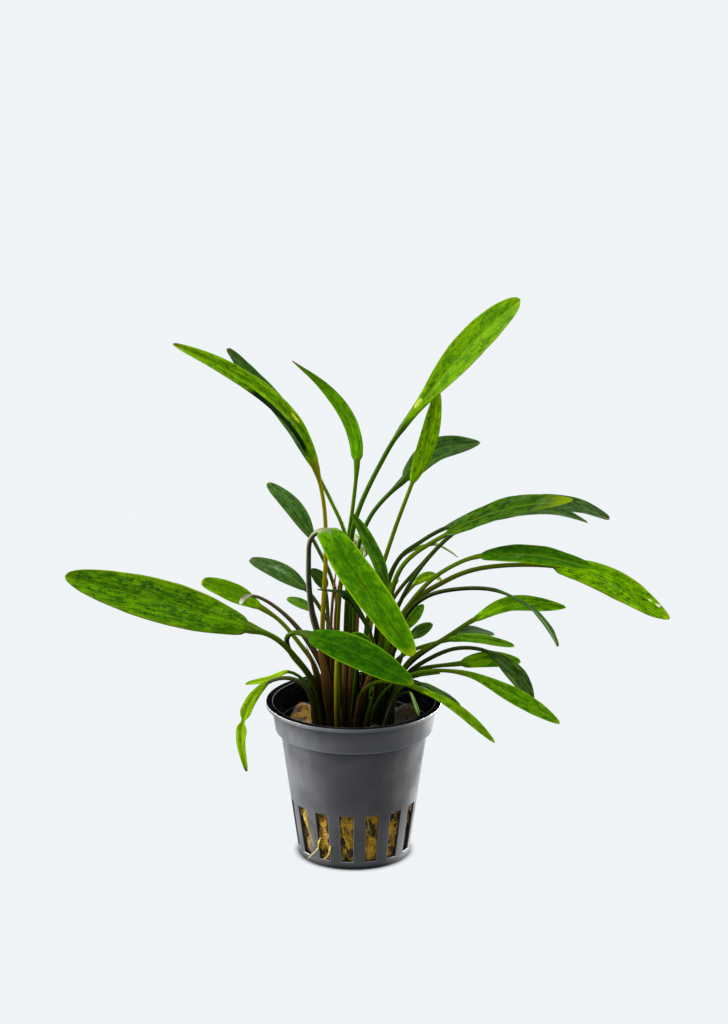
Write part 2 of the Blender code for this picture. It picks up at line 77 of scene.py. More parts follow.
# %% Camera
CAMERA_PLACE = (0.00316, -0.94506, 0.38215)
CAMERA_DOWN = 16  # degrees under the horizon
LENS = 112.36  # mm, on a frame 36 mm high
scene = bpy.context.scene
scene.view_settings.view_transform = "Standard"

camera = bpy.data.objects.new("camera", bpy.data.cameras.new("camera"))
camera.location = CAMERA_PLACE
camera.rotation_euler = (math.radians(90 - CAMERA_DOWN), 0, 0)
camera.data.lens = LENS
camera.data.clip_end = 20
scene.collection.objects.link(camera)
scene.camera = camera
print("camera at", CAMERA_PLACE, "looking", CAMERA_DOWN, "degrees down")

# %% Nodes in a line or two
# A node tree is a list of nodes and the links between them. "put" adds a node,
# sets it up, feeds its inputs and gives back one of its outputs.


def feed(tree, node, inputs):
    """Fills a node's inputs. Each goes by name or number, and takes a value or another node's output."""
    for key, value in inputs.items():
        if isinstance(value, bpy.types.NodeSocket):
            tree.links.new(value, node.inputs[key])
        elif value is not None:
            node.inputs[key].default_value = value
    return node.outputs


def put(tree, kind, inputs=None, out=0, **settings):
    """Adds a node with these inputs and settings, and gives back one output."""
    made = tree.nodes.new(kind)
    for key, value in settings.items():
        setattr(made, key, value)
    return feed(tree, made, inputs or {})[out]


def wire(tree, sockets):
    """Links each output to the input beside it."""
    for source, target in sockets:
        tree.links.new(source, target)


print("nodes can be added, fed and linked")

# %% Arithmetic and colours with nodes


def sums(tree, operation, a, b=None, c=None, clamp=False):
    """One step of arithmetic."""
    return put(tree, "ShaderNodeMath", {0: a, 1: b, 2: c}, operation=operation, use_clamp=clamp)


def vectors(tree, operation, a, b=None):
    """One step of arithmetic on vectors."""
    return put(tree, "ShaderNodeVectorMath", {0: a, 1: b}, operation=operation)


def scaled(tree, vector, factor):
    """A vector or a colour, times a number."""
    return put(tree, "ShaderNodeVectorMath", {0: vector, "Scale": factor}, operation="SCALE")


def parts(tree, vector):
    """The x, y and z of a vector."""
    return feed(tree, tree.nodes.new("ShaderNodeSeparateXYZ"), {0: vector})


def ramp(tree, value, low, high, start=0.0, end=1.0):
    """A smooth step from start to end while the value goes from low to high."""
    inputs = {"Value": value, "From Min": low, "From Max": high, "To Min": start, "To Max": end}
    return put(tree, "ShaderNodeMapRange", inputs, interpolation_type="SMOOTHSTEP")


def blend(tree, factor, a, b):
    """A mix of two colours."""
    return put(tree, "ShaderNodeMix", {0: factor, 6: a, 7: b}, 2, data_type="RGBA")


print("nodes can add, scale and blend")

# %% Node groups


def new_group(name, kind, inputs, outputs):
    """A node group with named sockets, its input node and its output node."""
    tree = bpy.data.node_groups.new(name, kind)
    for way, sockets in (("INPUT", inputs), ("OUTPUT", outputs)):
        for label, (form, value) in sockets.items():
            socket = tree.interface.new_socket(name=label, in_out=way, socket_type="NodeSocket" + form)
            if value is not None:
                socket.default_value = value
    return tree, tree.nodes.new("NodeGroupInput").outputs, tree.nodes.new("NodeGroupOutput").inputs


def many(form, *labels):
    """Sockets of one form, for new_group."""
    return {label: (form, None) for label in labels}


def grouped(tree, group, inputs):
    """Places a node group in a material, feeds it and gives back its outputs."""
    made = tree.nodes.new("ShaderNodeGroup")
    made.node_tree = group
    return feed(tree, made, inputs)


print("groups have named sockets")

# %% Materials


def new_material(name, **values):
    """A material, its tree and its shader, with these values on the shader's own sockets."""
    material = bpy.data.materials.new(name)
    material.use_nodes = True
    tree = material.node_tree
    shader = tree.nodes["Principled BSDF"]
    for key, value in values.items():
        shader.inputs[key.replace("_", " ").title().replace("Ior", "IOR")].default_value = value
    return material, tree, shader.inputs


def bump(tree, height, strength, distance, under=None):
    """Small unevenness from a height, over the unevenness under it. The distance is in metres."""
    inputs = {"Height": height, "Strength": strength, "Distance": distance, "Normal": under}
    return put(tree, "ShaderNodeBump", inputs)


def object_place(tree):
    """Where a point lies on the object, in metres, for patterns that stay on it."""
    return put(tree, "ShaderNodeTexCoord", out=3)


print("materials can be made")

# %% Colours and meshes
MM = 0.001


def rgb(red, green, blue):
    """A colour as a picture names it, 0 to 255, in the linear light that Blender mixes."""
    return (*(((c / 255 + 0.055) / 1.055) ** 2.4 if c > 10 else c / 3295 for c in (red, green, blue)), 1)


def mesh_object(name, bm, material):
    """Writes a bmesh into an object of the scene."""
    mesh = bpy.data.meshes.new(name)
    bm.to_mesh(mesh)
    bm.free()
    mesh.materials.append(material)
    thing = bpy.data.objects.new(name, mesh)
    scene.collection.objects.link(thing)
    return thing


print("mid grey is", round(rgb(128, 128, 128)[0], 3), "in linear light")

# %% Floor
PALE = (0.868, 0.902, 0.928, 1)  # the backdrop, as the camera sees it
FLOOR_GLOW = (0.26, 0.265, 0.27, 1)  # what the floor sends up to the plant
CONTACT_SHADOW = (0.05, 0.05, 0.052, 1)  # painted contact shadow on the floor right under the pot's edge
CONTACT_REACH = 0.0032  # metres
bm = bmesh.new()
bmesh.ops.create_grid(bm, x_segments=8, y_segments=8, size=6)
floor_material, tree, shader = new_material("pale_floor", base_color=(0, 0, 0, 1), roughness=1.0,
                                            specular_ior_level=0.0, emission_strength=1.0)
# The floor's colour darkens where the pot is near: a painted contact shadow.
near = put(tree, "ShaderNodeAmbientOcclusion", {"Distance": CONTACT_REACH}, 1, samples=8)
seen = blend(tree, ramp(tree, near, 0.25, 0.9), CONTACT_SHADOW, PALE)
wire(tree, [(blend(tree, put(tree, "ShaderNodeLightPath"), FLOOR_GLOW, seen), shader["Emission Color"])])
floor = mesh_object("floor", bm, floor_material)
floor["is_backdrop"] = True
print("floor:", len(floor.data.polygons), "faces")

# %% The room
FRONT_SKY, BACK_SKY, TOP_SKY = (0.2, 0.205, 0.21, 1), (0.5, 0.51, 0.53, 1), (1.1, 1.12, 1.15, 1)
world = bpy.data.worlds.new("soft_room")
world.use_nodes = True
scene.world = world
tree = world.node_tree
way = parts(tree, put(tree, "ShaderNodeTexCoord"))
sky = blend(tree, ramp(tree, way[1], -0.5, 0.7), FRONT_SKY, BACK_SKY)
sky = blend(tree, ramp(tree, way[2], 0.15, 0.9), sky, TOP_SKY)
sky = blend(tree, put(tree, "ShaderNodeLightPath"), sky, PALE)
wire(tree, [(sky, tree.nodes["Background"].inputs["Color"])])
print("room:", len(tree.nodes), "nodes")

# %% Lamps
OVERHEAD_ANGLE, SIDE_ANGLE, SHEEN_ANGLE = 25, 28, 50  # degrees that a sun's disc spans


def lamp(name, place, aim, energy, angle):
    """A sun whose light comes from this place's direction."""
    made = bpy.data.objects.new(name, bpy.data.lights.new(name, "SUN"))
    made.location = place
    made.rotation_euler = (Vector(aim) - Vector(place)).to_track_quat("-Z", "Y").to_euler()
    made.data.energy = energy
    made.data.angle = math.radians(angle)
    scene.collection.objects.link(made)
    return made


POT_MIDDLE = (0, 0, 0.04)
lamp("overhead", (-0.9, -0.3, 1.2), (0, 0, 0.08), 2.25, OVERHEAD_ANGLE)
pot_sheets = []
for name, place, light, sheen in (("left_sheet", (-0.6, 0.16, 0.1), 3.6, 40.0),
                                  ("right_sheet", (0.6, 0.45, 0.1), 5.8, 72.0)):
    lamp(name, place, POT_MIDDLE, light, SIDE_ANGLE)
    pot_sheets.append(lamp(name + "_on_pot", place, POT_MIDDLE, sheen, SHEEN_ANGLE))
    pot_sheets[-1].visible_diffuse = False
print("lamps: an overhead sun, two side lights and", len(pot_sheets), "for the pot's sheen")

# %% [markdown]
# ## The leaf skin
# A cryptocoryne's leaf is one grown thing: a round stalk that flattens into a
# long blade with a fold at its midrib, thin edges and a slight ripple. All of
# them follow the same rule, so one Geometry Nodes tree makes every leaf. Each
# leaf is given as a rail, a line of points that carry the leaf's width and
# thickness there. The tree wraps a tube round the rail and presses it to the
# leaf's section. It also stores where on the leaf each point lies, so that the
# colours can follow the veins.

# %% The leaf tree starts with a tube
tree, given, made = new_group("leaf_skin", "GeometryNodeTree", {
    "Rail": ("Geometry", None), "Sides": ("Int", 24), "Gutter": ("Float", 0.1), "Fold": ("Float", 0.0002),
    "Ripple": ("Float", 0.0003), "Ripple Length": ("Float", 0.012), "Seed": ("Float", 0.0),
    "Material": ("Material", None)}, {"Skin": ("Geometry", None)})
leaf_skin = tree
count = put(tree, "GeometryNodeAttributeDomainSize", {0: given["Rail"]}, component="MESH")
last = sums(tree, "SUBTRACT", count, 1)
tube = put(tree, "GeometryNodeMeshCylinder",
           {"Vertices": given["Sides"], "Side Segments": last, "Radius": 1, "Depth": 1},
           fill_type="TRIANGLE_FAN")
spot = parts(tree, put(tree, "GeometryNodeInputPosition"))
station = sums(tree, "FLOOR", sums(tree, "MULTIPLY_ADD", sums(tree, "ADD", spot[2], 0.5), last, 0.5))


def carried(name, kind="FLOAT"):
    """A value that the rail carries, read at this point's station."""
    value = put(tree, "GeometryNodeInputNamedAttribute", {"Name": name}, data_type=kind)
    inputs = {0: given["Rail"], "Value": value, "Index": station}
    return put(tree, "GeometryNodeSampleIndex", inputs, data_type=kind)


half, blade, reach = carried("half"), carried("blade"), carried("reach")
print("the tube and its station on the rail:", len(tree.nodes), "nodes")

# %% The leaf's section
CROWDING = 1.6  # over 1 draws the section's points together at the midrib
GUTTER_CURVE = 1.5  # how the gutter rises toward the edge
FOLD_REACH = 0.0007  # metres from the midrib
RIPPLE_SCALE = 4  # a noise seldom goes past a quarter of its range
side = sums(tree, "MULTIPLY", sums(tree, "SIGN", spot[0]), -1)
across = sums(tree, "MULTIPLY", sums(tree, "POWER", sums(tree, "ABSOLUTE", spot[0]), CROWDING), side)
offset = sums(tree, "MULTIPLY", across, half)
bow = sums(tree, "MULTIPLY", sums(tree, "POWER", sums(tree, "ABSOLUTE", across), GUTTER_CURVE),
           sums(tree, "MULTIPLY", half, given["Gutter"]))
fold = ramp(tree, sums(tree, "ABSOLUTE", offset), 0.0, FOLD_REACH, -1, 0)
fold = sums(tree, "MULTIPLY", fold, given["Fold"])
wave_place = put(tree, "ShaderNodeCombineXYZ", {0: sums(tree, "DIVIDE", reach, given["Ripple Length"]),
                                                1: sums(tree, "MULTIPLY", side, 2.3), 2: given["Seed"]})
wave = put(tree, "ShaderNodeTexNoise", {"Vector": wave_place, "Scale": 1, "Detail": 1.5})
wave = sums(tree, "MULTIPLY", sums(tree, "SUBTRACT", wave, 0.5), sums(tree, "MULTIPLY", across, across))
wave = sums(tree, "MULTIPLY", wave, sums(tree, "MULTIPLY", given["Ripple"], RIPPLE_SCALE))
shape = sums(tree, "MULTIPLY", sums(tree, "ADD", sums(tree, "ADD", bow, fold), wave), blade)
rise = sums(tree, "MULTIPLY_ADD", spot[1], carried("thick"), shape)
print("with the section:", len(tree.nodes), "nodes")

# %% The leaf's points, and what the colours read
point = vectors(tree, "ADD", carried("position", "FLOAT_VECTOR"),
                scaled(tree, carried("cross", "FLOAT_VECTOR"), offset))
point = vectors(tree, "ADD", point, scaled(tree, carried("up", "FLOAT_VECTOR"), rise))
skin_place = put(tree, "ShaderNodeCombineXYZ", {0: sums(tree, "MULTIPLY", offset, 1 / MM),
                                                1: sums(tree, "MULTIPLY", reach, 1 / MM)})
for name, value, kind in (
        ("across", across, "FLOAT"), ("along", carried("along"), "FLOAT"), ("blade", blade, "FLOAT"),
        ("upper", ramp(tree, spot[1], -0.2, 0.2), "FLOAT"), ("skin", skin_place, "FLOAT_VECTOR")):
    inputs = {0: tube, "Name": name, "Value": value}
    tube = put(tree, "GeometryNodeStoreNamedAttribute", inputs, data_type=kind)
tube = put(tree, "GeometryNodeSetPosition", {0: tube, "Position": point})
tube = put(tree, "GeometryNodeSetShadeSmooth", {0: tube})
tube = put(tree, "GeometryNodeRealizeInstances", {0: tube})
wire(tree, [(put(tree, "GeometryNodeSetMaterial", {0: tube, "Material": given["Material"]}), made["Skin"])])
print("leaf tree:", len(tree.nodes), "nodes")

# %% Run a tree on a mesh


def freeze(piece):
    """Keeps what a piece's modifiers made as its plain mesh, with only the materials that it uses."""
    bpy.context.view_layer.update()
    mesh = bpy.data.meshes.new_from_object(piece.evaluated_get(bpy.context.evaluated_depsgraph_get()))
    used = {face.material_index for face in mesh.polygons}
    for k in reversed(range(len(mesh.materials))):
        if k not in used:
            mesh.materials.pop(index=k)
    piece.modifiers.clear()
    piece.data = mesh
    mesh.name = piece.name


def grow(name, source, tree, **values):
    """Runs a Geometry Nodes tree on a mesh, and keeps the result as a plain mesh object."""
    piece = bpy.data.objects.new(name, source)
    scene.collection.objects.link(piece)
    modifier = piece.modifiers.new("grow", "NODES")
    modifier.node_group = tree
    sockets = {s.name: s.identifier for s in tree.interface.items_tree if s.in_out == "INPUT"}
    for key, value in values.items():
        modifier[sockets[key.replace("_", " ").title()]] = value
    freeze(piece)
    return piece


def keep(piece, slot, *nodes):
    """Puts a finished piece on the root body, and hides the frame's solids that it stands for. Its slot is
    not used.
    """
    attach(piece, "root")
    if nodes:
        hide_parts(*nodes)


print("every piece rides on root, because nothing moves on its own")

# %% [markdown]
# ## The leaves' places
# Each leaf stands at a crown, at an angle round it, and runs through its stalk
# points to the first blade point, its neck, and on to its tip. Its width is at
# the broadest place, "faces" is the way its upper side looks, and "belly" is how
# far along it is broadest. These are the numbers of the frame's own leaves, so
# the finished leaves lie over the solids.

# %% The leaf table
CROWNS = {
    "left": (-9.0, 0.0),
    "front": (-0.5, -5.5),
    "middle": (-1.0, 4.5),
    "right": (8.5, -2.5),
    "back": (8.0, 6.5),
    "near": (6.5, -11.0),
}
FEET_RADIUS, FEET_HEIGHT = 3.2, 42.8
Leaf = namedtuple("Leaf", "crown at stalk blade width faces look belly", defaults=(0.45,))

LEAVES = {
    "leaf_left_long": Leaf(
        "left", 260, ((-12, -4.6, 56), (-18.2, -8, 66.9), (-24.5, -13.5, 75.1)),
        ((-32.6, -16.6, 79.4), (-52, -23, 87.7), (-66, -27, 93), (-86, -34, 101)), 13.4,
        (0, -1, 0.6), "bright"),
    "leaf_left_yellow": Leaf(
        "left", 100, ((-12, 4.5, 59), (-17, 5.5, 66.7), (-23.5, 8, 73.7)),
        ((-29.5, 9, 77.7), (-40, 13, 82), (-48, 16, 84)), 6.4, (0, -1, 0.9), "lime"),
    "leaf_left_rolled": Leaf(
        "left", 300, ((-8.6, -4, 59), (-12.8, -5, 68.7), (-19.7, -5.7, 78.3), (-26.5, -7.4, 84.6)),
        ((-31, -9, 87), (-33.3, -10, 86.7), (-35, -11, 85)), 2.2, (-0.2, -0.3, 1), "brown"),
    "leaf_left_dark_upper": Leaf(
        "middle", 200, ((-5.5, 5, 62), (-5.8, 8, 83.5)),
        ((-12.8, 13.5, 98.4), (-18.8, 20, 106.6), (-27.4, 30, 112.3)), 6.0, (0.3, -1, 0.6), "dark"),
    "leaf_left_dark_glossy": Leaf(
        "front", 160, ((-6, -3, 60), (-7, 3, 72), (-11, 6, 79)),
        ((-15, 8, 83.7), (-24, 15, 87.7), (-33, 22, 89.3)), 6.2, (0.2, -1, 0.9), "dark"),
    "leaf_left_dark_small": Leaf(
        "left", 60, ((-8, 4.5, 62), (-8.3, 8, 78)),
        ((-9, 9, 83.5), (-10.5, 10, 86.5), (-13.5, 11, 89.5)), 4.4, (0.3, -1, 0.5), "dark"),
    "leaf_left_small_pale": Leaf(
        "middle", 160, ((-8, 8, 56), (-11, 12, 68)),
        ((-13, 14, 74.5), (-16.5, 18, 75.8), (-21.5, 24, 75.8)), 3.2, (0, -1, 0.6), "bright"),
    "leaf_rim_left_short": Leaf(
        "left", 140, ((-13, 2.3, 50), (-15.6, 2.5, 55.5)),
        ((-20.6, 3, 58.3), (-26, 3, 56.1), (-34, 3, 54.2)), 2.3, (0, -0.6, 1), "lime"),
    "leaf_rim_left_drooping": Leaf(
        "left", 220, ((-12.5, -3.5, 50), (-15.2, -5.5, 56.5), (-20.5, -8, 60)),
        ((-26.6, -9, 58.8), (-32.3, -11, 52.6), (-34.9, -12, 42), (-33.4, -13, 31)), 4.2,
        (-0.6, -1, 0.2), "lime"),
    "leaf_top_left_bright": Leaf(
        "left", 20, ((-8.5, 0.8, 56), (-9.7, -0.5, 72), (-8.6, -2, 100), (-9.2, -3, 115)),
        ((-11.9, -4, 127.5), (-17, -8, 140.2), (-27, -12.5, 152), (-40, -17, 161.7), (-53.4, -21, 169)), 5.8,
        (0.3, -1, 0.7), "bright"),
    "leaf_top_left_dark": Leaf(
        "middle", 280, ((0, 2.5, 60), (0, 4, 82), (-2.8, 5, 103), (-7, 6, 113)),
        ((-12.3, 7, 123.5), (-20.6, 15, 137), (-31.8, 21, 149.2), (-39.4, 24, 157.2)), 6.4,
        (0.8, -1, 0.3), "dark"),
    "leaf_top_middle": Leaf(
        "middle", 240, ((-5, 1.5, 58), (-4.5, 2, 83), (-0.3, 2.5, 112)),
        ((1, 4, 126.5), (0.4, 6, 133.3), (-2.7, 9, 140.5), (-9.8, 12, 148.6), (-19, 14, 155.5)), 5.0,
        (-0.5, -1, 0.1),
        "bright", 0.3),
    "leaf_top_right_tall": Leaf(
        "front", 120, ((-2.4, -2.3, 62), (-2, -1, 82), (0.1, 0.3, 107), (9.4, -0.5, 129)),
        ((15.6, -2.4, 139.6), (36, -15, 168.5), (49, -24, 183)), 10.1, (-0.4, -1, 0.5), "bright", 0.6),
    "leaf_top_right_dark": Leaf(
        "middle", 0, ((0.5, 5, 60), (0, 9, 90), (5, 12, 106)),
        ((16, 17, 117.2), (25, 22, 124.7), (40, 32, 125)), 7.8, (-0.3, -1, 0.5), "dark", 0.38),
    "leaf_top_right_narrow": Leaf(
        "middle", 40, ((3, 6, 54), (4.5, 6, 75), (12, 5, 102)),
        ((18, 6, 118.7), (22.9, 8, 132), (26, 10, 147)), 5.8, (0.2, -1, 0.2), "lime"),
    "leaf_front_upper": Leaf(
        "left", 340, ((-8, -1.5, 62), (-12.8, -3, 79), (-13.8, -9.5, 98), (-12.8, -13.4, 107.0)),
        ((-8.8, -17, 110.2), (-0.9, -32, 103.3), (9.0, -47, 93.3), (17.4, -58, 84)), 11.9,
        (0.3, -0.8, 1), "bright"),
    "leaf_front_lower": Leaf(
        "left", 180, ((-13.5, -1, 57), (-19.5, -6, 67.5), (-20.6, -9.5, 73.5), (-18.6, -11.5, 75.9)),
        ((-13.2, -15.2, 76.3), (0, -26, 74.5), (18, -40, 69)), 10.8, (0, -0.9, 1), "mid"),
    "leaf_front_hidden": Leaf(
        "front", 200, ((-4, -10, 55), (-4, -13, 67)),
        ((-2.5, -14, 73.5), (1, -15, 75.5), (5.5, -17, 74.5)), 3.4, (0, -1, 0.6), "mid"),
    "leaf_middle_edge_on": Leaf(
        "front", 0, ((5, -6.5, 55), (6.5, -7, 64)),
        ((5.3, -7.4, 74), (-1.1, -8.5, 85.7), (-4.2, -9.5, 88), (-11, -12.5, 90.3)), 3.4,
        (-1, -0.5, 0.7), "dark", 0.3),
    "leaf_middle_upright": Leaf(
        "front", 40, ((4.5, -2, 54), (8, -1.5, 68)),
        ((10.2, -1.5, 86), (7.6, -2.4, 95.5), (4.0, -3.2, 103.5), (-0.5, -4, 112)), 5.6,
        (1, -0.8, 0.2), "dark"),
    "leaf_middle_crumpled": Leaf(
        "middle", 120, ((-3, 9.5, 57), (-1, 14, 76)),
        ((2.8, 18, 91.0), (1.6, 21, 94.4), (-2.6, 25, 96.0)), 5.8, (0, -1, 0.3), "lime"),
    "leaf_middle_tip": Leaf(
        "middle", 80, ((0.5, 9, 57), (5, 13, 70)),
        ((9, 16, 79), (11, 18, 81), (14, 20, 83)), 2.2, (0, -1, 0.4), "lime"),
    "leaf_right_high_front": Leaf(
        "right", 200, ((6.5, -3.5, 56), (10, -4, 78), (15, -7, 96)),
        ((28, -10, 106.8), (45.5, -19, 117.4), (65.3, -30, 123.5)), 10.2, (0, -0.5, 1), "bright"),
    "leaf_right_high_back": Leaf(
        "back", 200, ((6, 5, 55), (8.6, 4, 81), (14.3, 5, 95), (20.5, 5.5, 99.8)),
        ((28.5, 6, 104.3), (56, 10, 110.6), (70, 12, 109.6), (80, 14, 105)), 8.6, (0, -0.5, 1), "dark"),
    "leaf_right_high_dark": Leaf(
        "right", 120, ((8, 0.5, 56), (12, 0.5, 76), (22, 0, 95)),
        ((36.4, -2, 108.6), (54, -4, 112.7), (64, -5, 112.2), (71.7, -6, 109.6)), 5.0, (0, -0.4, 1), "dark"),
    "leaf_right_high_hidden": Leaf(
        "back", 240, ((7, 3, 56), (10.5, 2.5, 79), (21, 2.5, 93.5)),
        ((32, 3, 104.5), (43, 2, 110), (54, 1, 112.5)), 4.4, (0, -0.4, 1), "mid"),
    "leaf_right_pale_thin": Leaf(
        "back", 120, ((6, 10.5, 55), (9, 11, 77), (15, 16, 92)),
        ((25, 18, 95.5), (29, 22, 92.8), (33, 26, 89)), 3.4, (0, -0.4, 1), "lime"),
    "leaf_right_arched_small": Leaf(
        "back", 160, ((6, 8, 54), (10, 10, 71)),
        ((19, 14, 83.5), (24, 17, 85.5), (28, 20, 83)), 3.6, (0, -0.6, 1), "lime"),
    "leaf_right_mid_front": Leaf(
        "right", 240, ((8, -5.5, 55), (13.5, -6.5, 77), (23, -8, 91), (32, -10, 97.8)),
        ((38.8, -13, 101), (50.4, -19, 103.4), (60, -24, 103.6), (72, -28, 101.9)), 8.0,
        (0, -0.6, 1), "bright", 0.42),
    "leaf_right_mid_long": Leaf(
        "right", 80, ((10.5, 0, 58), (16, 0, 79.5), (28, -0.5, 88.9), (39, -1.5, 93.5)),
        ((61.5, -3.4, 94.8), (77, -5, 91.0), (97.3, -8, 79.2)), 10.0, (0, -0.8, 1), "bright", 0.5),
    "leaf_right_dark_arch": Leaf(
        "right", 280, ((10, -7, 55), (15.6, -9.5, 80), (22, -10.5, 87), (31, -12, 90)),
        ((43, -16, 91), (52.5, -24.5, 88.7), (57.7, -33, 85.5), (61, -40, 81)), 5.6, (0.6, 0.05, 1), "dark"),
    "leaf_right_low_flat": Leaf(
        "right", 320, ((12.5, -5, 54), (17, -5.5, 64.5), (28, -6.5, 72.4)),
        ((37.3, -8, 79.1), (48, -9.5, 84.4), (65, -12, 84.2)), 5.8, (0, -0.8, 1), "bright", 0.5),
    "leaf_right_low_pale": Leaf(
        "back", 280, ((9.5, 3, 53), (14, 5, 62)),
        ((30, 10, 66.5), (39, 14, 65.5), (51, 18, 61.8)), 5.0, (0, -0.5, 1), "bright"),
    "leaf_right_low_black": Leaf(
        "back", 320, ((12, 4.7, 52), (18, 7, 60)),
        ((31, 15, 66.1), (37, 19, 66.5), (45, 25, 63.4)), 4.8, (0, -0.4, 1), "dark"),
    "leaf_right_dark_drooping": Leaf(
        "right", 0, ((12.5, -2, 51), (16.5, -2, 59), (23, -2, 64), (32, -3, 68)),
        ((41.3, -4, 67.3), (50.0, -8, 61.2), (55.5, -10, 53.0)), 6.4, (0.5, -1, 0.8), "dark", 0.55),
    "leaf_right_low_light": Leaf(
        "back", 0, ((13, 7, 52), (19.5, 6.5, 57.5)),
        ((33.6, 6, 60), (43, 8, 60.6), (52.6, 10, 59.4)), 5.8, (0, -0.9, 1), "bright"),
    "leaf_right_low_long": Leaf(
        "near", 40, ((11.5, -9, 53), (16, -9.5, 60.5), (24, -10.5, 63.2)),
        ((35.2, -13, 63), (44.8, -19, 60.4), (54.4, -25, 56.7), (62.5, -30, 53)), 5.7,
        (0, -0.8, 1), "bright", 0.55),
    "leaf_rim_right_drooping": Leaf(
        "front", 320, ((2, -11.5, 55.5), (7, -15, 61), (14, -18, 61.7)),
        ((21, -20, 60.2), (32.3, -27, 56), (42.7, -34, 48.3)), 3.3, (0.1, -0.9, 1), "bright", 0.55),
    "leaf_rim_right_dark": Leaf(
        "near", 320, ((11, -13, 51), (15, -12.5, 58.5)),
        ((21, -13.5, 60), (27.5, -15, 57.2), (33, -17, 54)), 3.2, (0.3, -0.3, 1), "dark"),
    "leaf_right_short_upper": Leaf(
        "back", 80, ((9.5, 11, 54), (13, 14, 62)),
        ((16, 16, 68), (18.5, 18, 71), (22, 20, 75)), 4.2, (-0.3, -1, 0.4), "mid"),
    "leaf_right_short_lower": Leaf(
        "back", 40, ((12.5, 10, 52), (15.5, 13.5, 61)),
        ((18, 16, 65), (21, 19, 66.5), (25, 22, 68)), 4.0, (0, -1, 0.5), "dark"),
    "leaf_right_low_bit": Leaf(
        "right", 40, ((13, 1, 51), (16, 2, 55.5)),
        ((19, 2.5, 56.8), (23, 2.5, 57.6), (27, 2.5, 58)), 1.8, (0, -0.5, 1), "mid"),
    "leaf_in_pot": Leaf(
        "near", 0, ((11.2, -11, 53.0), (14.3, -10.5, 55.2)),
        ((17, -10, 56.0), (19.1, -9.8, 51.7), (20.4, -9.5, 47.9)), 2.2, (0.8, -0.6, 0.5), "lime", 0.6),
    "leaf_young_spear": Leaf(
        "near", 160, ((4, -10, 48), (5, -10.2, 52)),
        ((5.2, -10.2, 54), (5.4, -10.4, 56), (5.8, -10.6, 59)), 1.6, (0, -1, 0.1), "lime"),
}
print(len(LEAVES), "leaves on", len(CROWNS), "crowns")

# %% [markdown]
# ## Rails
# A smooth curve through a leaf's points gives its middle line. The blade's
# broadest place and its ends set its width everywhere else: it swells quickly
# from the neck and draws in to a fine tip. A stalk is thickest at its foot.

# %% A smooth line through points


def smooth_line(points, steps=24):
    """A curve through the points, and the index in it of each of them."""
    points = [Vector(p) for p in points]
    ends = [points[0] * 2 - points[1], *points, points[-1] * 2 - points[-2]]
    line, stations = [], []
    for a, b, c, d in zip(ends, ends[1:], ends[2:], ends[3:]):
        stations.append(len(line))
        knots = [0]
        for p, q in ((a, b), (b, c), (c, d)):
            knots.append(knots[-1] + math.sqrt((q - p).length))
        span = knots[2] - knots[1]
        line += [between(a, b, c, d, knots, knots[1] + span * k / steps) for k in range(steps)]
    stations.append(len(line))
    line.append(points[-1])
    return line, stations


def between(a, b, c, d, knots, t):
    """A point of the curve from b to c."""
    k0, k1, k2, k3 = knots
    share = (t - k1) / (k2 - k1)
    ab, bc, cd = a.lerp(b, (t - k0) / (k1 - k0)), b.lerp(c, share), c.lerp(d, (t - k2) / (k3 - k2))
    return ab.lerp(bc, (t - k0) / (k2 - k0)).lerp(bc.lerp(cd, (t - k1) / (k3 - k1)), share)


print("a line through three points has", len(smooth_line([(0, 0, 0), (1, 0, 0), (1, 1, 0)])[0]), "points")

# %% Lengths along a line


def length_of(line):
    """The length of a line of points."""
    return sum((b - a).length for a, b in zip(line, line[1:]))


def walk(line, first, last, shares):
    """Places and directions at shares of the length between two indices of a line, and that length."""
    run = [0]
    for a, b in zip(line[first:last], line[first + 1 : last + 1]):
        run.append(run[-1] + (b - a).length)
    found, k = [], 0
    for share in shares:
        reach = share * run[-1]
        while k < len(run) - 2 and run[k + 1] < reach:
            k += 1
        place = line[first + k].lerp(line[first + k + 1], (reach - run[k]) / (run[k + 1] - run[k]))
        before, after = line[max(first + k - 1, 0)], line[min(first + k + 2, len(line) - 1)]
        found.append((place, (after - before).normalized()))
    return found, run[-1]


longest = max(LEAVES, key=lambda name: length_of(smooth_line(LEAVES[name].blade)[0]))
print("the longest blade is", longest, round(length_of(smooth_line(LEAVES[longest].blade)[0]), 1), "mm")

# %% How wide a leaf is
BLADE_THICK, TIP_WIDTH = 0.42, 0.35  # mm
STALK_NECK = 0.95  # a stalk's thickness there, as a share of the frame's
WING_ON_BLADE, WING_ON_STALK = 0.2, 9  # how far a winged neck runs: a share of the blade, and mm


def soft(low, high, value):
    """A smooth step from 0 to 1."""
    t = min(1, max(0, (value - low) / (high - low)))
    return t * t * (3 - 2 * t)


def stalk_radius(leaf):
    """A broad leaf has a stout stalk."""
    return 0.5 + 0.028 * leaf.width


def blade_half(leaf, share, ends, wing=0, pinch=(0.5, 0, 0.1)):
    """Half the blade's width at a share of its length. A low number in ends is a full, blunt end."""
    power = math.log(0.5) / math.log(leaf.belly)
    fullness = ends[0] if share < leaf.belly else ends[1]
    swell = math.sin(math.pi * share**power) ** fullness if 0 < share < 1 else 0
    neck = stalk_radius(leaf) * STALK_NECK + wing * (1 - soft(0, WING_ON_BLADE, share))
    at_end = neck * (1 - share) + TIP_WIDTH / 2 * share
    torn = 1 - pinch[1] * math.exp(-(((share - pinch[0]) / pinch[2]) ** 2))
    return (at_end + (leaf.width / 2 - at_end) * swell) * torn


print("stalks are", round(2 * stalk_radius(LEAVES[longest]), 2), "mm thick on the longest leaf")

# %% Lines as meshes


def polyline(name, points):
    """A mesh of points in a row, given in millimetres."""
    mesh = bpy.data.meshes.new(name)
    mesh.from_pydata([p * MM for p in points], [(k, k + 1) for k in range(len(points) - 1)], [])
    return mesh


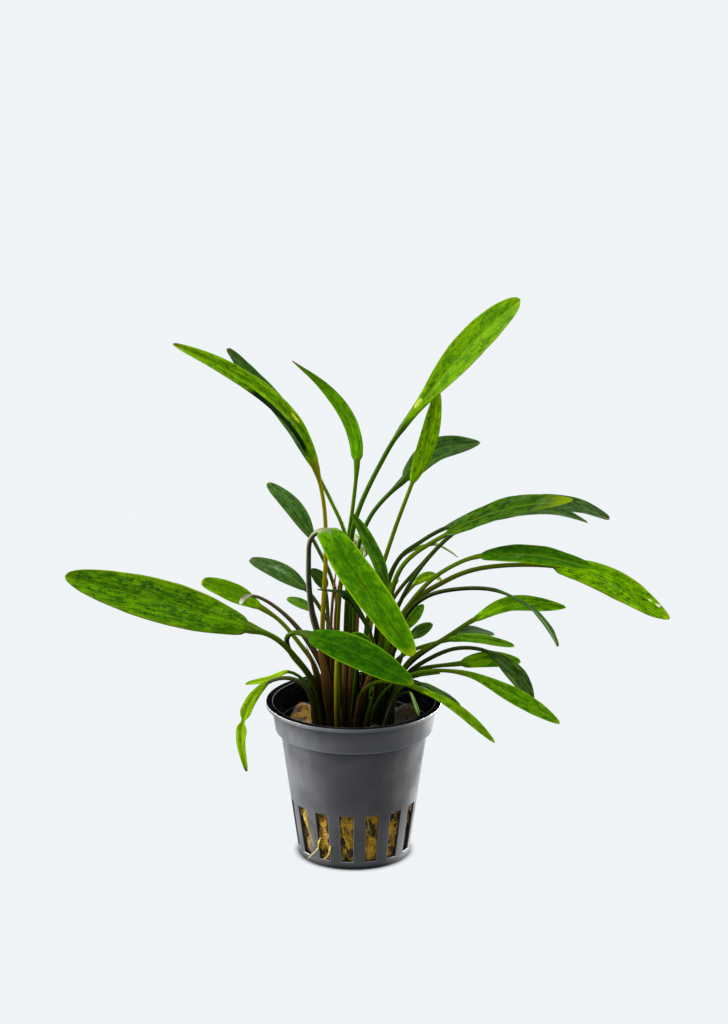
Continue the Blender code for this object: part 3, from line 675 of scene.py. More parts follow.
def rail_mesh(name, rows):
    """Writes rows of place, cross, up, half, thick, blade, along and reach as a line of points."""
    rail = polyline(name + "_rail", [row[0] for row in rows])
    columns = (("cross", "FLOAT_VECTOR", 1), ("up", "FLOAT_VECTOR", 1), ("half", "FLOAT", MM),
               ("thick", "FLOAT", MM), ("blade", "FLOAT", 1), ("along", "FLOAT", 1), ("reach", "FLOAT", MM))
    for column, (key, kind, unit) in enumerate(columns, 1):
        values = rail.attributes.new(key, kind, "POINT").data
        for item, row in zip(values, rows):
            if kind == "FLOAT":
                item.value = row[column] * unit
            else:
                item.vector = row[column]
    return rail


print("a rail carries eight things at each point")

# %% The rail of a leaf
BLADE_STEP, STALK_STEP = 1.0, 1.8  # mm between a rail's points
LEAST_BLADE_STEPS, LEAST_STALK_STEPS = 14, 6
TIP_CROWDING = 1.25  # over 1 draws a blade's points together at its tip
FLAT_FROM = 0.28  # the share of the blade in which the round stalk turns flat


def leaf_rail(name, leaf, ends=(0.8, 0.6), twist=0, foot_size=1.5, wing=0, pinch=(0.5, 0, 0.1)):
    """A line of points from the leaf's foot to its tip, with what the leaf tree reads."""
    x, y = CROWNS[leaf.crown]
    turn = math.radians(leaf.at)
    foot = (x + FEET_RADIUS * math.cos(turn), y + FEET_RADIUS * math.sin(turn), FEET_HEIGHT)
    line, marks = smooth_line([foot, *leaf.stalk, *leaf.blade])
    neck, end = marks[1 + len(leaf.stalk)], len(line) - 1
    steps = max(LEAST_BLADE_STEPS, round(length_of(line[neck:]) / BLADE_STEP))
    shares = [1 - (1 - k / steps) ** TIP_CROWDING for k in range(steps + 1)]
    blade, length = walk(line, neck, end, shares)
    foot_steps = max(LEAST_STALK_STEPS, round(length_of(line[: neck + 1]) / STALK_STEP))
    stalk, stalk_length = walk(line, 0, neck, [k / foot_steps for k in range(foot_steps)])
    faces, radius = Vector(leaf.faces), stalk_radius(leaf)
    rows = []
    for share, (place, way) in reversed(list(zip(shares, blade))):
        across = way.cross(faces).normalized()
        across.rotate(Quaternion(way, math.radians(twist * share)))
        flat = soft(0, FLAT_FROM, share)
        thick = (radius * STALK_NECK * (1 - flat) + BLADE_THICK / 2 * flat) * (1 - 0.55 * share)
        half = blade_half(leaf, share, ends, wing, pinch)
        rows.append((place, across, across.cross(way), half, thick, flat, share, share * length))
    for k, (place, way) in reversed(list(enumerate(stalk))):
        across = (across - way * across.dot(way)).normalized()
        t = k / foot_steps
        reach = (t - 1) * stalk_length
        thick = radius * (STALK_NECK + (foot_size - STALK_NECK) * (1 - t) ** 1.6)
        winged = thick + wing * soft(-WING_ON_STALK, 0, reach) ** 2
        rows.append((place, across, across.cross(way), winged, thick, 0, t - 1, reach))
    rows.reverse()
    return rail_mesh(name, rows)


print("rails have a point at each", BLADE_STEP, "mm of a blade and", STALK_STEP, "mm of a stalk")

# %% [markdown]
# ## What a leaf looks like up close
# Parallel veins run from the neck to the tip, so the colour follows the leaf and
# not the room: fine streaks along it, darker and lighter blotches, a pale line on
# the midrib and a thin pale edge. Where a film of water lies on it the leaf is
# smooth and shines, and elsewhere it is dull. Four node groups hold these
# effects, and every leaf's material uses them with its own colours.

# %% The sockets of the leaf's pattern
PATTERNS = ("Streaks", "Blotches", "Veins", "Rib", "Margin", "Along", "Blade", "Upper", "Specks", "Side")
tree, given, made = new_group("leaf_pattern", "ShaderNodeTree", {
    "Seed": ("Float", 0.0), "Slant": ("Float", 0.0), "Blotch Size": ("Float", 1.0), "Core": ("Float", 0.45),
    "Broken": ("Float", 0.0), "Strokes": ("Float", 0.4)}, many("Float", *PATTERNS, "Height"))
leaf_pattern = tree


def attribute(tree, name, out=2):
    """What the leaf tree stored here: a number, or a vector with out=1."""
    return put(tree, "ShaderNodeAttribute", out=out, attribute_name=name)


def skin_noise(tree, skin, seed, across, along, detail, size=None, roughness=0.55):
    """A noise that is fine across the leaf and drawn out along it, in features per millimetre."""
    place = vectors(tree, "MULTIPLY", skin, (across, along, 0))
    if size is not None:
        place = scaled(tree, place, size)
    place = vectors(tree, "ADD", place, put(tree, "ShaderNodeCombineXYZ", {2: seed}))
    inputs = {"Vector": place, "Scale": 1, "Detail": detail, "Roughness": roughness}
    return put(tree, "ShaderNodeTexNoise", inputs)


def other_seed(step):
    """The leaf's seed moved on, so that two noises differ."""
    return sums(tree, "ADD", given["Seed"], step)


skin = attribute(tree, "skin", 1)
across = sums(tree, "ABSOLUTE", attribute(tree, "across"))
along, blade = attribute(tree, "along"), attribute(tree, "blade")
sideways, lengthways, _ = parts(tree, skin)
print("the leaf's pattern gives", len(PATTERNS), "masks and a height")

# %% Streaks, blotches and specks
slanted = sums(tree, "MULTIPLY", lengthways, given["Slant"])
slanted = sums(tree, "SUBTRACT", sums(tree, "ABSOLUTE", sideways), slanted)
slanted = put(tree, "ShaderNodeCombineXYZ", {0: slanted, 1: lengthways})
streaks = skin_noise(tree, slanted, given["Seed"], 1.9, 0.12, 3)
blotches = skin_noise(tree, skin, other_seed(9), 0.62, 0.3, 6, given["Blotch Size"], 0.68)
specks = skin_noise(tree, skin, other_seed(14), 1.7, 0.55, 2)
strokes = skin_noise(tree, skin, other_seed(21), 1.1, 0.5, 3)
core = sums(tree, "MULTIPLY", ramp(tree, across, 0.3, 0.95, 1, 0), given["Core"])
core = sums(tree, "MULTIPLY", core, blade)
patchy = sums(tree, "MULTIPLY_ADD", ramp(tree, blotches, 0.44, 0.6), 0.85, core)
dark_specks = sums(tree, "MULTIPLY", ramp(tree, specks, 0.58, 0.62), ramp(tree, blotches, 0.42, 0.5))
dark_strokes = sums(tree, "MULTIPLY", ramp(tree, strokes, 0.62, 0.66), given["Strokes"])
print("with streaks and blotches:", len(tree.nodes), "nodes")

# %% Veins, midrib and edge
VEINS = 3.6  # on each half of the blade
vein = sums(tree, "FRACT", sums(tree, "MULTIPLY", across, VEINS))
vein = sums(tree, "ABSOLUTE", sums(tree, "SUBTRACT", vein, 0.5))
vein = sums(tree, "MULTIPLY", ramp(tree, vein, 0.34, 0.5), blade)
rib = sums(tree, "MULTIPLY", ramp(tree, sums(tree, "ABSOLUTE", sideways), 0.1, 0.5, 1, 0), blade)
gaps = ramp(tree, skin_noise(tree, skin, other_seed(30), 0, 0.45, 3), 0.4, 0.6, 1, 0)
rib = sums(tree, "MULTIPLY", rib, sums(tree, "SUBTRACT", 1, sums(tree, "MULTIPLY", gaps, given["Broken"])))
margin = sums(tree, "MULTIPLY", ramp(tree, across, 0.86, 0.97), blade)
waves = skin_noise(tree, slanted, given["Seed"], 0.8, 0.1, 0)
height = sums(tree, "MULTIPLY_ADD", waves, 0.8, sums(tree, "MULTIPLY", vein, -0.3))
wire(tree, [(ramp(tree, streaks, 0.42, 0.6), made["Streaks"]), (patchy, made["Blotches"]),
            (vein, made["Veins"]), (rib, made["Rib"]), (margin, made["Margin"]), (along, made["Along"]),
            (ramp(tree, along, -0.01, 0.05), made["Blade"]), (attribute(tree, "upper"), made["Upper"]),
            (sums(tree, "MAXIMUM", dark_specks, dark_strokes), made["Specks"]),
            (attribute(tree, "across"), made["Side"]), (height, made["Height"])])
print("leaf pattern:", len(tree.nodes), "nodes")

# %% Colours over the blade
INKS = ("Tone", "Second", "Streak", "Line", "Edge", "Tip", "Under", "Vein")
SHADOW = (0.001, 0.011, 0.001, 1)  # painted shade on one half of a blade, as if it were folded away from the light
HALF_SHADE_MIDDLE = 0.32  # the share of the blade where that painted shade is darkest
tree, given, made = new_group("leaf_colour", "ShaderNodeTree", {
    **many("Float", *PATTERNS), **many("Color", *INKS, "Foot", "Neck"),
    "Tip Start": ("Float", 0.88), "Streak Amount": ("Float", 0.6), "Line Amount": ("Float", 0.5),
    "Speck Amount": ("Float", 0.4), "Half Shade": ("Float", 0.0)}, many("Color", "Color"))
leaf_colour = tree
colour = sums(tree, "MULTIPLY", given["Blotches"], 1.0, clamp=True)
colour = blend(tree, colour, given["Tone"], given["Second"])
for mask, amount, ink in (
        ("Streaks", given["Streak Amount"], "Streak"), ("Veins", 0.35, "Vein"),
        ("Specks", given["Speck Amount"], "Streak"), ("Rib", given["Line Amount"], "Line"),
        ("Margin", 0.8, "Edge")):
    colour = blend(tree, sums(tree, "MULTIPLY", given[mask], amount), colour, given[ink])
colour = blend(tree, ramp(tree, given["Along"], given["Tip Start"], 1.0), colour, given["Tip"])
colour = blend(tree, sums(tree, "MULTIPLY_ADD", given["Upper"], -0.75, 0.75), colour, given["Under"])
# Painted shade on one half of the blade, strongest around the middle of its length.
from_shade_middle = sums(tree, "ABSOLUTE", sums(tree, "SUBTRACT", given["Along"], HALF_SHADE_MIDDLE))
half_in_painted_shade = sums(tree, "MULTIPLY", ramp(tree, given["Side"], -0.5, -0.4, 1, 0),
              ramp(tree, from_shade_middle, 0.2, 0.27, 1, 0))
colour = blend(tree, sums(tree, "MULTIPLY", half_in_painted_shade, given["Half Shade"]), colour, SHADOW)
print("the blade's colours:", len(tree.nodes), "nodes")

# %% Colours down the stalk
UNDERSIDE_AND_SHADE = (0.012, 0.01, 0.003, 1)  # the stalk's under side: its own darker brown, and painted shade
DEEP_SHADE = (0.006, 0.005, 0.002, 1)  # painted shade between the stalks' feet, where little light comes
DEEP_LOW, DEEP_HIGH = 0.045, 0.066  # metres over the table
stalk = blend(tree, ramp(tree, given["Along"], -0.85, -0.15), given["Foot"], given["Neck"])
stalk = blend(tree, sums(tree, "MULTIPLY", given["Streaks"], 0.35), stalk, given["Foot"])
# The stalk's under side is darker: partly its own colour, partly painted shade.
stalk = blend(tree, given["Upper"], blend(tree, 0.75, stalk, UNDERSIDE_AND_SHADE), stalk)
# A painted highlight along the stalk's two sides.
rim = sums(tree, "ABSOLUTE", given["Side"])
stalk = blend(tree, ramp(tree, rim, 0.7, 0.98, 0, 0.35), stalk, given["Neck"])
over_table = parts(tree, object_place(tree))[2]
# Painted shade low on the stalks, near the plug.
stalk = blend(tree, ramp(tree, over_table, DEEP_LOW, DEEP_HIGH, 0.8, 0), stalk, DEEP_SHADE)
wire(tree, [(blend(tree, given["Blade"], stalk, colour), made["Color"])])
print("leaf colour:", len(tree.nodes), "nodes")

# %% The film of water
WET = 0.16  # the roughness of wet skin
tree, given, made = new_group("wet_film", "ShaderNodeTree", {
    "Seed": ("Float", 0.0), "Amount": ("Float", 0.5), "Dry": ("Float", 0.45)},
    many("Float", "Film", "Roughness", "Height"))
wet_film = tree
skin = attribute(tree, "skin", 1)
patches = skin_noise(tree, skin, given["Seed"], 0.26, 0.1, 3)
edge = sums(tree, "MULTIPLY_ADD", given["Amount"], -0.45, 0.72)
film = ramp(tree, patches, edge, sums(tree, "ADD", edge, 0.1))
pools = vectors(tree, "MULTIPLY", skin, (0.5, 0.35, 1))
pools = put(tree, "ShaderNodeTexVoronoi", {"Vector": pools, "Scale": 1}, feature="F1",
            voronoi_dimensions="2D")
rough = put(tree, "ShaderNodeMapRange", {"Value": film, "To Min": given["Dry"], "To Max": WET})
wire(tree, [(film, made["Film"]), (rough, made["Roughness"]),
            (sums(tree, "MULTIPLY", ramp(tree, pools, 0.12, 0.42, 1, 0), film), made["Height"])])
print("wet film:", len(tree.nodes), "nodes")

# %% A mark on a leaf
tree, given, made = new_group("leaf_mark", "ShaderNodeTree", {
    "X": ("Float", 0.0), "Y": ("Float", 0.0), "Half Width": ("Float", 0.5), "Half Length": ("Float", 1.0)},
    many("Float", "Mask"))
leaf_mark = tree
skin = attribute(tree, "skin", 1)
ragged = put(tree, "ShaderNodeTexNoise", {"Vector": skin, "Scale": 1.4, "Detail": 2}, 1)
ragged = scaled(tree, vectors(tree, "SUBTRACT", ragged, (0.5, 0.5, 0.5)), 1.2)
spot = parts(tree, vectors(tree, "ADD", skin, ragged))
wide = sums(tree, "DIVIDE", sums(tree, "SUBTRACT", spot[0], given["X"]), given["Half Width"])
long = sums(tree, "DIVIDE", sums(tree, "SUBTRACT", spot[1], given["Y"]), given["Half Length"])
away = sums(tree, "ADD", sums(tree, "MULTIPLY", wide, wide), sums(tree, "MULTIPLY", long, long))
away = sums(tree, "SQRT", away)
mask = sums(tree, "MULTIPLY", ramp(tree, away, 0.7, 1.1, 1, 0), attribute(tree, "upper"))
wire(tree, [(mask, made["Mask"])])
print("leaf mark:", len(tree.nodes), "nodes")

# %% [markdown]
# ## The leaves' colours
# Four kinds of leaf grow in this pot: bright yellow-green ones in the light, deep
# green ones, dark grey-green ones behind, and young lime ones. A fifth kind is
# withered brown. Each kind has a set of colours, and a leaf changes what is its
# own, such as the colour of its stalk or of its tip. "Shade" makes all of a
# blade's colours lighter or darker: partly the leaf's own tone, and partly painted
# light and shade for how the lamps fall on it. A mark is its place on the blade in
# millimetres, its half width, its half length and its colour.

# %% Sets of colours
SKINS = {
    "bright": dict(
        tone=rgb(102, 152, 3), second=rgb(58, 106, 3), streak=rgb(40, 80, 5), line=rgb(120, 156, 20),
        edge=rgb(128, 160, 10), tip=rgb(110, 146, 8), under=rgb(50, 86, 6), foot=rgb(58, 54, 8),
        neck=rgb(84, 116, 5), wet=0.25, shine=0.015),
    "mid": dict(
        tone=rgb(60, 112, 2), second=rgb(34, 78, 2), streak=rgb(24, 60, 3), line=rgb(100, 140, 8),
        edge=rgb(120, 152, 10), tip=rgb(110, 130, 8), under=rgb(40, 78, 6), foot=rgb(50, 46, 8),
        neck=rgb(64, 86, 5), wet=0.25, shine=0.015),
    "dark": dict(
        tone=rgb(70, 104, 32), second=rgb(44, 78, 26), streak=rgb(26, 50, 14), line=rgb(84, 112, 40),
        edge=rgb(70, 96, 20), tip=rgb(80, 84, 20), under=rgb(40, 62, 18), foot=rgb(38, 32, 8),
        neck=rgb(50, 70, 12), wet=0.35, shine=0.1),
    "lime": dict(
        tone=rgb(128, 168, 2), second=rgb(90, 134, 3), streak=rgb(66, 106, 5), line=rgb(150, 180, 30),
        edge=rgb(140, 166, 10), tip=rgb(140, 146, 12), under=rgb(90, 126, 8), foot=rgb(70, 70, 10),
        neck=rgb(98, 130, 8), wet=0.2, shine=0.015),
    "brown": dict(
        tone=rgb(110, 76, 40), second=rgb(76, 50, 24), streak=rgb(40, 26, 12), line=rgb(150, 130, 96),
        edge=rgb(140, 110, 74), tip=rgb(180, 172, 150), under=rgb(100, 74, 40), foot=rgb(64, 42, 14),
        neck=rgb(96, 74, 36), wet=0.3, shine=0.05),
}
print(len(SKINS), "kinds of skin")

# %% What each leaf has of its own
OWN = {
    "sheath_brown": dict(foot=rgb(66, 42, 14), neck=rgb(122, 84, 36)),
    "sheath_dark": dict(foot=rgb(24, 20, 6), neck=rgb(40, 34, 10)),
    "sheath_mid": dict(foot=rgb(44, 60, 6), neck=rgb(64, 110, 4)),
    "sheath_lime": dict(foot=rgb(70, 120, 4), neck=rgb(130, 184, 6)),
    "sheath_bright": dict(foot=rgb(160, 150, 8), neck=rgb(186, 186, 10)),
    "leaf_left_long": dict(
        tone=rgb(120, 180, 8), second=rgb(66, 122, 14), streak=rgb(36, 80, 10), tip=rgb(120, 160, 8),
        foot=rgb(40, 40, 8), neck=rgb(96, 132, 14), edge=rgb(136, 166, 20), wet=0.45, ripple=0.5,
        ends=(0.7, 0.5), speck_amount=0.8, slant=0.12, core=0.2, wing=1.1, line=rgb(110, 156, 20),
        strokes=0.55, vein=rgb(140, 190, 20), under=rgb(130, 165, 30), blotch_size=0.75),
    "leaf_left_yellow": dict(
        foot=rgb(60, 56, 8), neck=rgb(96, 116, 12), ends=(1.0, 0.4), tone=rgb(104, 150, 2),
        second=rgb(72, 112, 4), line_amount=0.1, edge=rgb(120, 150, 8), core=0.5, wing=0.4),
    "leaf_left_rolled": dict(
        foot_size=3.2, neck=rgb(104, 92, 60), foot=rgb(70, 46, 14), tone=rgb(150, 146, 120),
        tip=rgb(200, 204, 190), second=rgb(90, 84, 60), streak=rgb(36, 34, 20), tip_start=0.5),
    "leaf_left_dark_upper": dict(
        ends=(0.9, 0.5), tip=rgb(80, 120, 10), speck_amount=0.9, shade=1.1, strokes=0.8),
    "leaf_left_dark_glossy": dict(ends=(0.8, 0.5), wet=0.5, shade=0.9, speck_amount=0.9, strokes=0.8),
    "leaf_left_dark_small": dict(shade=0.8),
    "leaf_left_small_pale": dict(tone=rgb(90, 134, 20), second=rgb(70, 110, 30), edge=rgb(90, 140, 8)),
    "leaf_front_upper": dict(
        streak_amount=0.3, foot=rgb(116, 82, 54), neck=rgb(140, 148, 116), tip=rgb(126, 150, 4),
        ends=(0.38, 0.44), line=rgb(56, 48, 8), foot_size=2.0, tone=rgb(92, 146, 1), second=rgb(54, 104, 1),
        streak=rgb(40, 84, 2), edge=rgb(130, 170, 4), slant=0.28, core=0.55, line_amount=0.7, wing=1.0,
        blotch_size=0.8, wet=0.1, broken=0.7, marks=[(0.0, 1.0, 0.9, 3.4, rgb(112, 128, 78))]),
    "leaf_front_lower": dict(
        foot=rgb(44, 44, 8), neck=rgb(60, 84, 8), ends=(0.56, 0.6), streak_amount=0.4, slant=0.22, core=0.5,
        wing=0.8, edge=rgb(110, 156, 4), wet=0.0, tone=rgb(60, 116, 1), second=rgb(34, 82, 1),
        line_amount=0.2, shade=0.9),
    "leaf_front_hidden": dict(tone=rgb(70, 124, 2)),
    "leaf_top_left_bright": dict(
        foot=rgb(168, 134, 10), neck=rgb(136, 138, 12), tip=rgb(130, 140, 20), ends=(0.7, 0.52),
        edge=rgb(130, 170, 6), tone=rgb(150, 208, 5), second=rgb(112, 170, 4), half_shade=0.97, wing=0.8,
        marks=[(1.2, 17.0, 0.5, 2.2, rgb(255, 250, 60))]),
    "leaf_top_left_dark": dict(
        foot=rgb(66, 44, 12), neck=rgb(92, 136, 8), ends=(0.9, 0.45), edge=rgb(56, 100, 12)),
    "leaf_top_middle": dict(
        foot=rgb(126, 136, 4), neck=rgb(70, 112, 6), ends=(0.55, 1.05), tip=rgb(110, 80, 24), wing=0.5,
        tone=rgb(100, 160, 3), second=rgb(74, 132, 3)),
    "leaf_top_right_tall": dict(
        foot=rgb(46, 34, 8), neck=rgb(70, 112, 6), wet=0.12, ends=(0.95, 0.45), speck_amount=0.7,
        tone=rgb(122, 172, 5), second=rgb(92, 140, 10), streak=rgb(40, 88, 8), core=0.3, wing=0.5, shade=0.95,
        strokes=0.6, marks=[(-0.6, 8.5, 0.6, 2.4, rgb(190, 200, 70))], streak_amount=0.35, blotch_size=0.6),
    "leaf_top_right_dark": dict(
        foot=rgb(44, 54, 10), neck=rgb(56, 92, 8), ends=(0.8, 0.7), wing=0.6, shade=1.12),
    "leaf_top_right_narrow": dict(
        ends=(0.8, 0.5), tone=rgb(150, 208, 4), second=rgb(112, 170, 4), line=rgb(150, 180, 12),
        line_amount=0.5, speck_amount=0.9),
    "leaf_middle_crumpled": dict(
        tone=rgb(226, 232, 200), second=rgb(150, 166, 100), streak=rgb(30, 50, 14), ripple=2.0,
        ripple_length=3, twist=80, streak_amount=1.0, wet=0.6),
    "leaf_middle_edge_on": dict(tone=rgb(36, 70, 20), second=rgb(22, 50, 12)),
    # Its shade of 1.4 is painted light, for the lamps that miss its face.
    "leaf_middle_upright": dict(
        tone=rgb(78, 126, 12), second=rgb(46, 88, 8), shine=0.0, wet=0.0, edge=rgb(92, 146, 10), dry=0.6,
        strokes=0.8, shade=1.4),
    "leaf_rim_left_short": dict(
        tone=rgb(150, 190, 2), second=rgb(130, 176, 2), neck=rgb(60, 110, 4), foot=rgb(30, 50, 6)),
    "leaf_rim_left_drooping": dict(
        foot=rgb(64, 76, 30), neck=rgb(104, 116, 60), pinch=(0.47, 0.7, 0.05), tip=rgb(90, 80, 10),
        foot_size=2.6, tone=rgb(150, 192, 4), second=rgb(116, 162, 4)),
    "leaf_right_high_front": dict(
        tone=rgb(84, 124, 14), second=rgb(32, 66, 8), wet=0.35, edge=rgb(70, 110, 10), shade=0.66,
        strokes=0.8, tip=rgb(128, 152, 16), tip_start=0.72),
    "leaf_right_high_back": dict(
        ends=(0.9, 0.45), shade=0.9, strokes=0.9, speck_amount=0.9, streak_amount=0.8, tone=rgb(84, 122, 40),
        second=rgb(40, 72, 24)),
    "leaf_right_mid_front": dict(
        tone=rgb(70, 124, 2), second=rgb(42, 88, 2), ends=(0.7, 0.55), wing=0.3, shade=0.92,
        tip=rgb(84, 136, 4)),
    "leaf_right_mid_long": dict(
        foot=rgb(58, 44, 12), neck=rgb(88, 110, 6), tip=rgb(166, 196, 6), ends=(0.45, 0.68),
        tone=rgb(146, 206, 1), second=rgb(102, 160, 2), speck_amount=0.9, strokes=0.7,
        marks=[(-1.8, 34.7, 0.5, 1.1, rgb(250, 250, 200)), (-1.8, 31.7, 0.35, 0.8, rgb(240, 244, 170))]),
    # Its pale midrib line is a painted highlight.
    "leaf_right_dark_arch": dict(
        tone=rgb(56, 92, 20), line=rgb(160, 186, 120), line_amount=0.5, strokes=0.0, speck_amount=0.2,
        wet=0.0, shine=0.02),
    "leaf_right_low_flat": dict(
        wing=0.25, tone=rgb(138, 194, 3), second=rgb(78, 132, 3), ends=(0.7, 0.55), tip=rgb(90, 146, 3),
        shade=1.05),
    "leaf_right_low_pale": dict(ends=(0.8, 0.5), wing=0.2, tone=rgb(92, 138, 5)),
    "leaf_right_low_light": dict(ends=(0.6, 0.5), wing=0.3, tone=rgb(114, 166, 4)),
    "leaf_right_low_long": dict(wing=0.4),
    "leaf_rim_right_drooping": dict(
        tip=rgb(150, 170, 6), wing=0.5, tone=rgb(130, 180, 4), second=rgb(96, 144, 4)),
    "leaf_right_dark_drooping": dict(
        shade=1.15, strokes=0.8, tone=rgb(84, 122, 40), second=rgb(36, 66, 22), streak_amount=0.8),
    "leaf_young_spear": dict(tone=rgb(100, 150, 6), second=rgb(84, 130, 6), edge=rgb(90, 130, 6), core=0.0),
    "leaf_right_pale_thin": dict(tone=rgb(150, 170, 110), second=rgb(120, 144, 80), neck=rgb(110, 140, 50)),
    "leaf_in_pot": dict(
        tone=rgb(120, 170, 10), neck=rgb(34, 60, 8), foot=rgb(16, 24, 4), line=rgb(210, 225, 190),
        line_amount=0.5),
    "leaf_right_short_lower": dict(tone=rgb(92, 138, 16), second=rgb(66, 108, 14)),
    "leaf_right_short_upper": dict(tone=rgb(96, 146, 12), second=rgb(70, 114, 10)),
    "leaf_right_low_black": dict(
        tone=rgb(44, 84, 8), second=rgb(26, 50, 6), foot=rgb(30, 20, 8), neck=rgb(24, 24, 8)),
}
own_leaves = sum(name.startswith("leaf") for name in OWN)
print(own_leaves, "leaves and", len(OWN) - own_leaves, "kinds of sheath have colours of their own")

# %% A leaf's material
USUAL = dict(tip_start=0.93, streak_amount=0.5, line_amount=0.35, speck_amount=0.6, dry=0.45, slant=0.0,
             core=0.35, blotch_size=1.0, broken=0.0, strokes=0.3, shade=1, half_shade=0.0, marks=())
WATER_IOR, FILM_ROUGHNESS = 1.33, 0.14
LEAF_GLOSS = (0.5, 1.0, 0.25, 1)  # a leaf's own shine is green
STALK_COAT, FILM_COAT = 0.14, 0.4


def seed_of(name):
    """A number of a leaf's own, the same at each run."""
    return sum((k + 3) * ord(letter) for k, letter in enumerate(name)) % 97 * 1.7


def leaf_material(name, look):
    """A leaf's material: its own colours in the shared pattern, and the film of water on it."""
    own = {**USUAL, **SKINS[look], **OWN.get(name, {})}
    own.setdefault("vein", own["second"])
    own = {key.replace("_", " ").title(): value for key, value in own.items()}
    for ink in INKS:
        own[ink] = (*(c * own["Shade"] for c in own[ink][:3]), 1)
    seed = seed_of(name)
    material, tree, shader = new_material(
        name, coat_roughness=FILM_ROUGHNESS, coat_ior=WATER_IOR, specular_ior_level=own["Shine"],
        specular_tint=LEAF_GLOSS)
    pattern = grouped(tree, leaf_pattern, {
        "Seed": seed, **{key: own[key] for key in ("Slant", "Core", "Blotch Size", "Broken", "Strokes")}})
    colour = grouped(tree, leaf_colour, {
        **{key: pattern[key] for key in PATTERNS},
        **{key: own[key] for key in (*INKS, "Foot", "Neck", "Tip Start", "Streak Amount", "Line Amount",
                                     "Speck Amount", "Half Shade")}})[0]
    for x, y, width, length, mark_colour in own["Marks"]:
        mask = grouped(tree, leaf_mark, {"X": x, "Y": y, "Half Width": width, "Half Length": length})[0]
        colour = blend(tree, mask, colour, mark_colour)
    film = grouped(tree, wet_film, {"Seed": seed + 3, "Amount": own["Wet"], "Dry": own["Dry"]})
    surface = bump(tree, film["Height"], 0.4, 0.0005, bump(tree, pattern["Height"], 0.25, 0.0003))
    stalk_gloss = sums(tree, "MULTIPLY_ADD", pattern["Blade"], -STALK_COAT, STALK_COAT)
    gloss = sums(tree, "MAXIMUM", sums(tree, "MULTIPLY", film["Film"], FILM_COAT), stalk_gloss)
    wire(tree, [(colour, shader["Base Color"]), (film["Roughness"], shader["Roughness"]),
                (gloss, shader["Coat Weight"]), (surface, shader["Normal"])])
    return material


print("the film on a leaf has the IOR of water,", WATER_IOR)

# %% Grow the leaves
RAIL_SHAPES = ("ends", "twist", "foot_size", "wing", "pinch")
BROAD, BROAD_SIDES, NARROW_SIDES = 3, 24, 16  # mm, and the section's points
GUTTER, FOLD, RIPPLE, RIPPLE_LENGTH = 0.1, 0.00025, 0.3, 9  # the fold in metres, the ripples in mm
faces = 0
for name, leaf in LEAVES.items():
    own = OWN.get(name, {})
    rail = leaf_rail(name, leaf, **{key: own[key] for key in RAIL_SHAPES if key in own})
    piece = grow(name + "_skin", rail, leaf_skin, sides=BROAD_SIDES if leaf.width > BROAD else NARROW_SIDES,
                 gutter=GUTTER, fold=FOLD, ripple=own.get("ripple", RIPPLE) * MM,
                 ripple_length=own.get("ripple_length", RIPPLE_LENGTH) * MM, seed=seed_of(name),
                 material=leaf_material(name, leaf.look))
    keep(piece, leaf.look, name)
    faces += len(piece.data.polygons)
print(len(LEAVES), "leaves,", faces, "faces")

# %% [markdown]
# ## Sheaths and young stalks
# Low in the tuft, old sheaths and young stalks fill the space between the leaves'
# stalks. They are broad and flat, brown with age or dark green, and wrap round
# their neighbours. The leaf tree makes them too, from a rail with no blade.

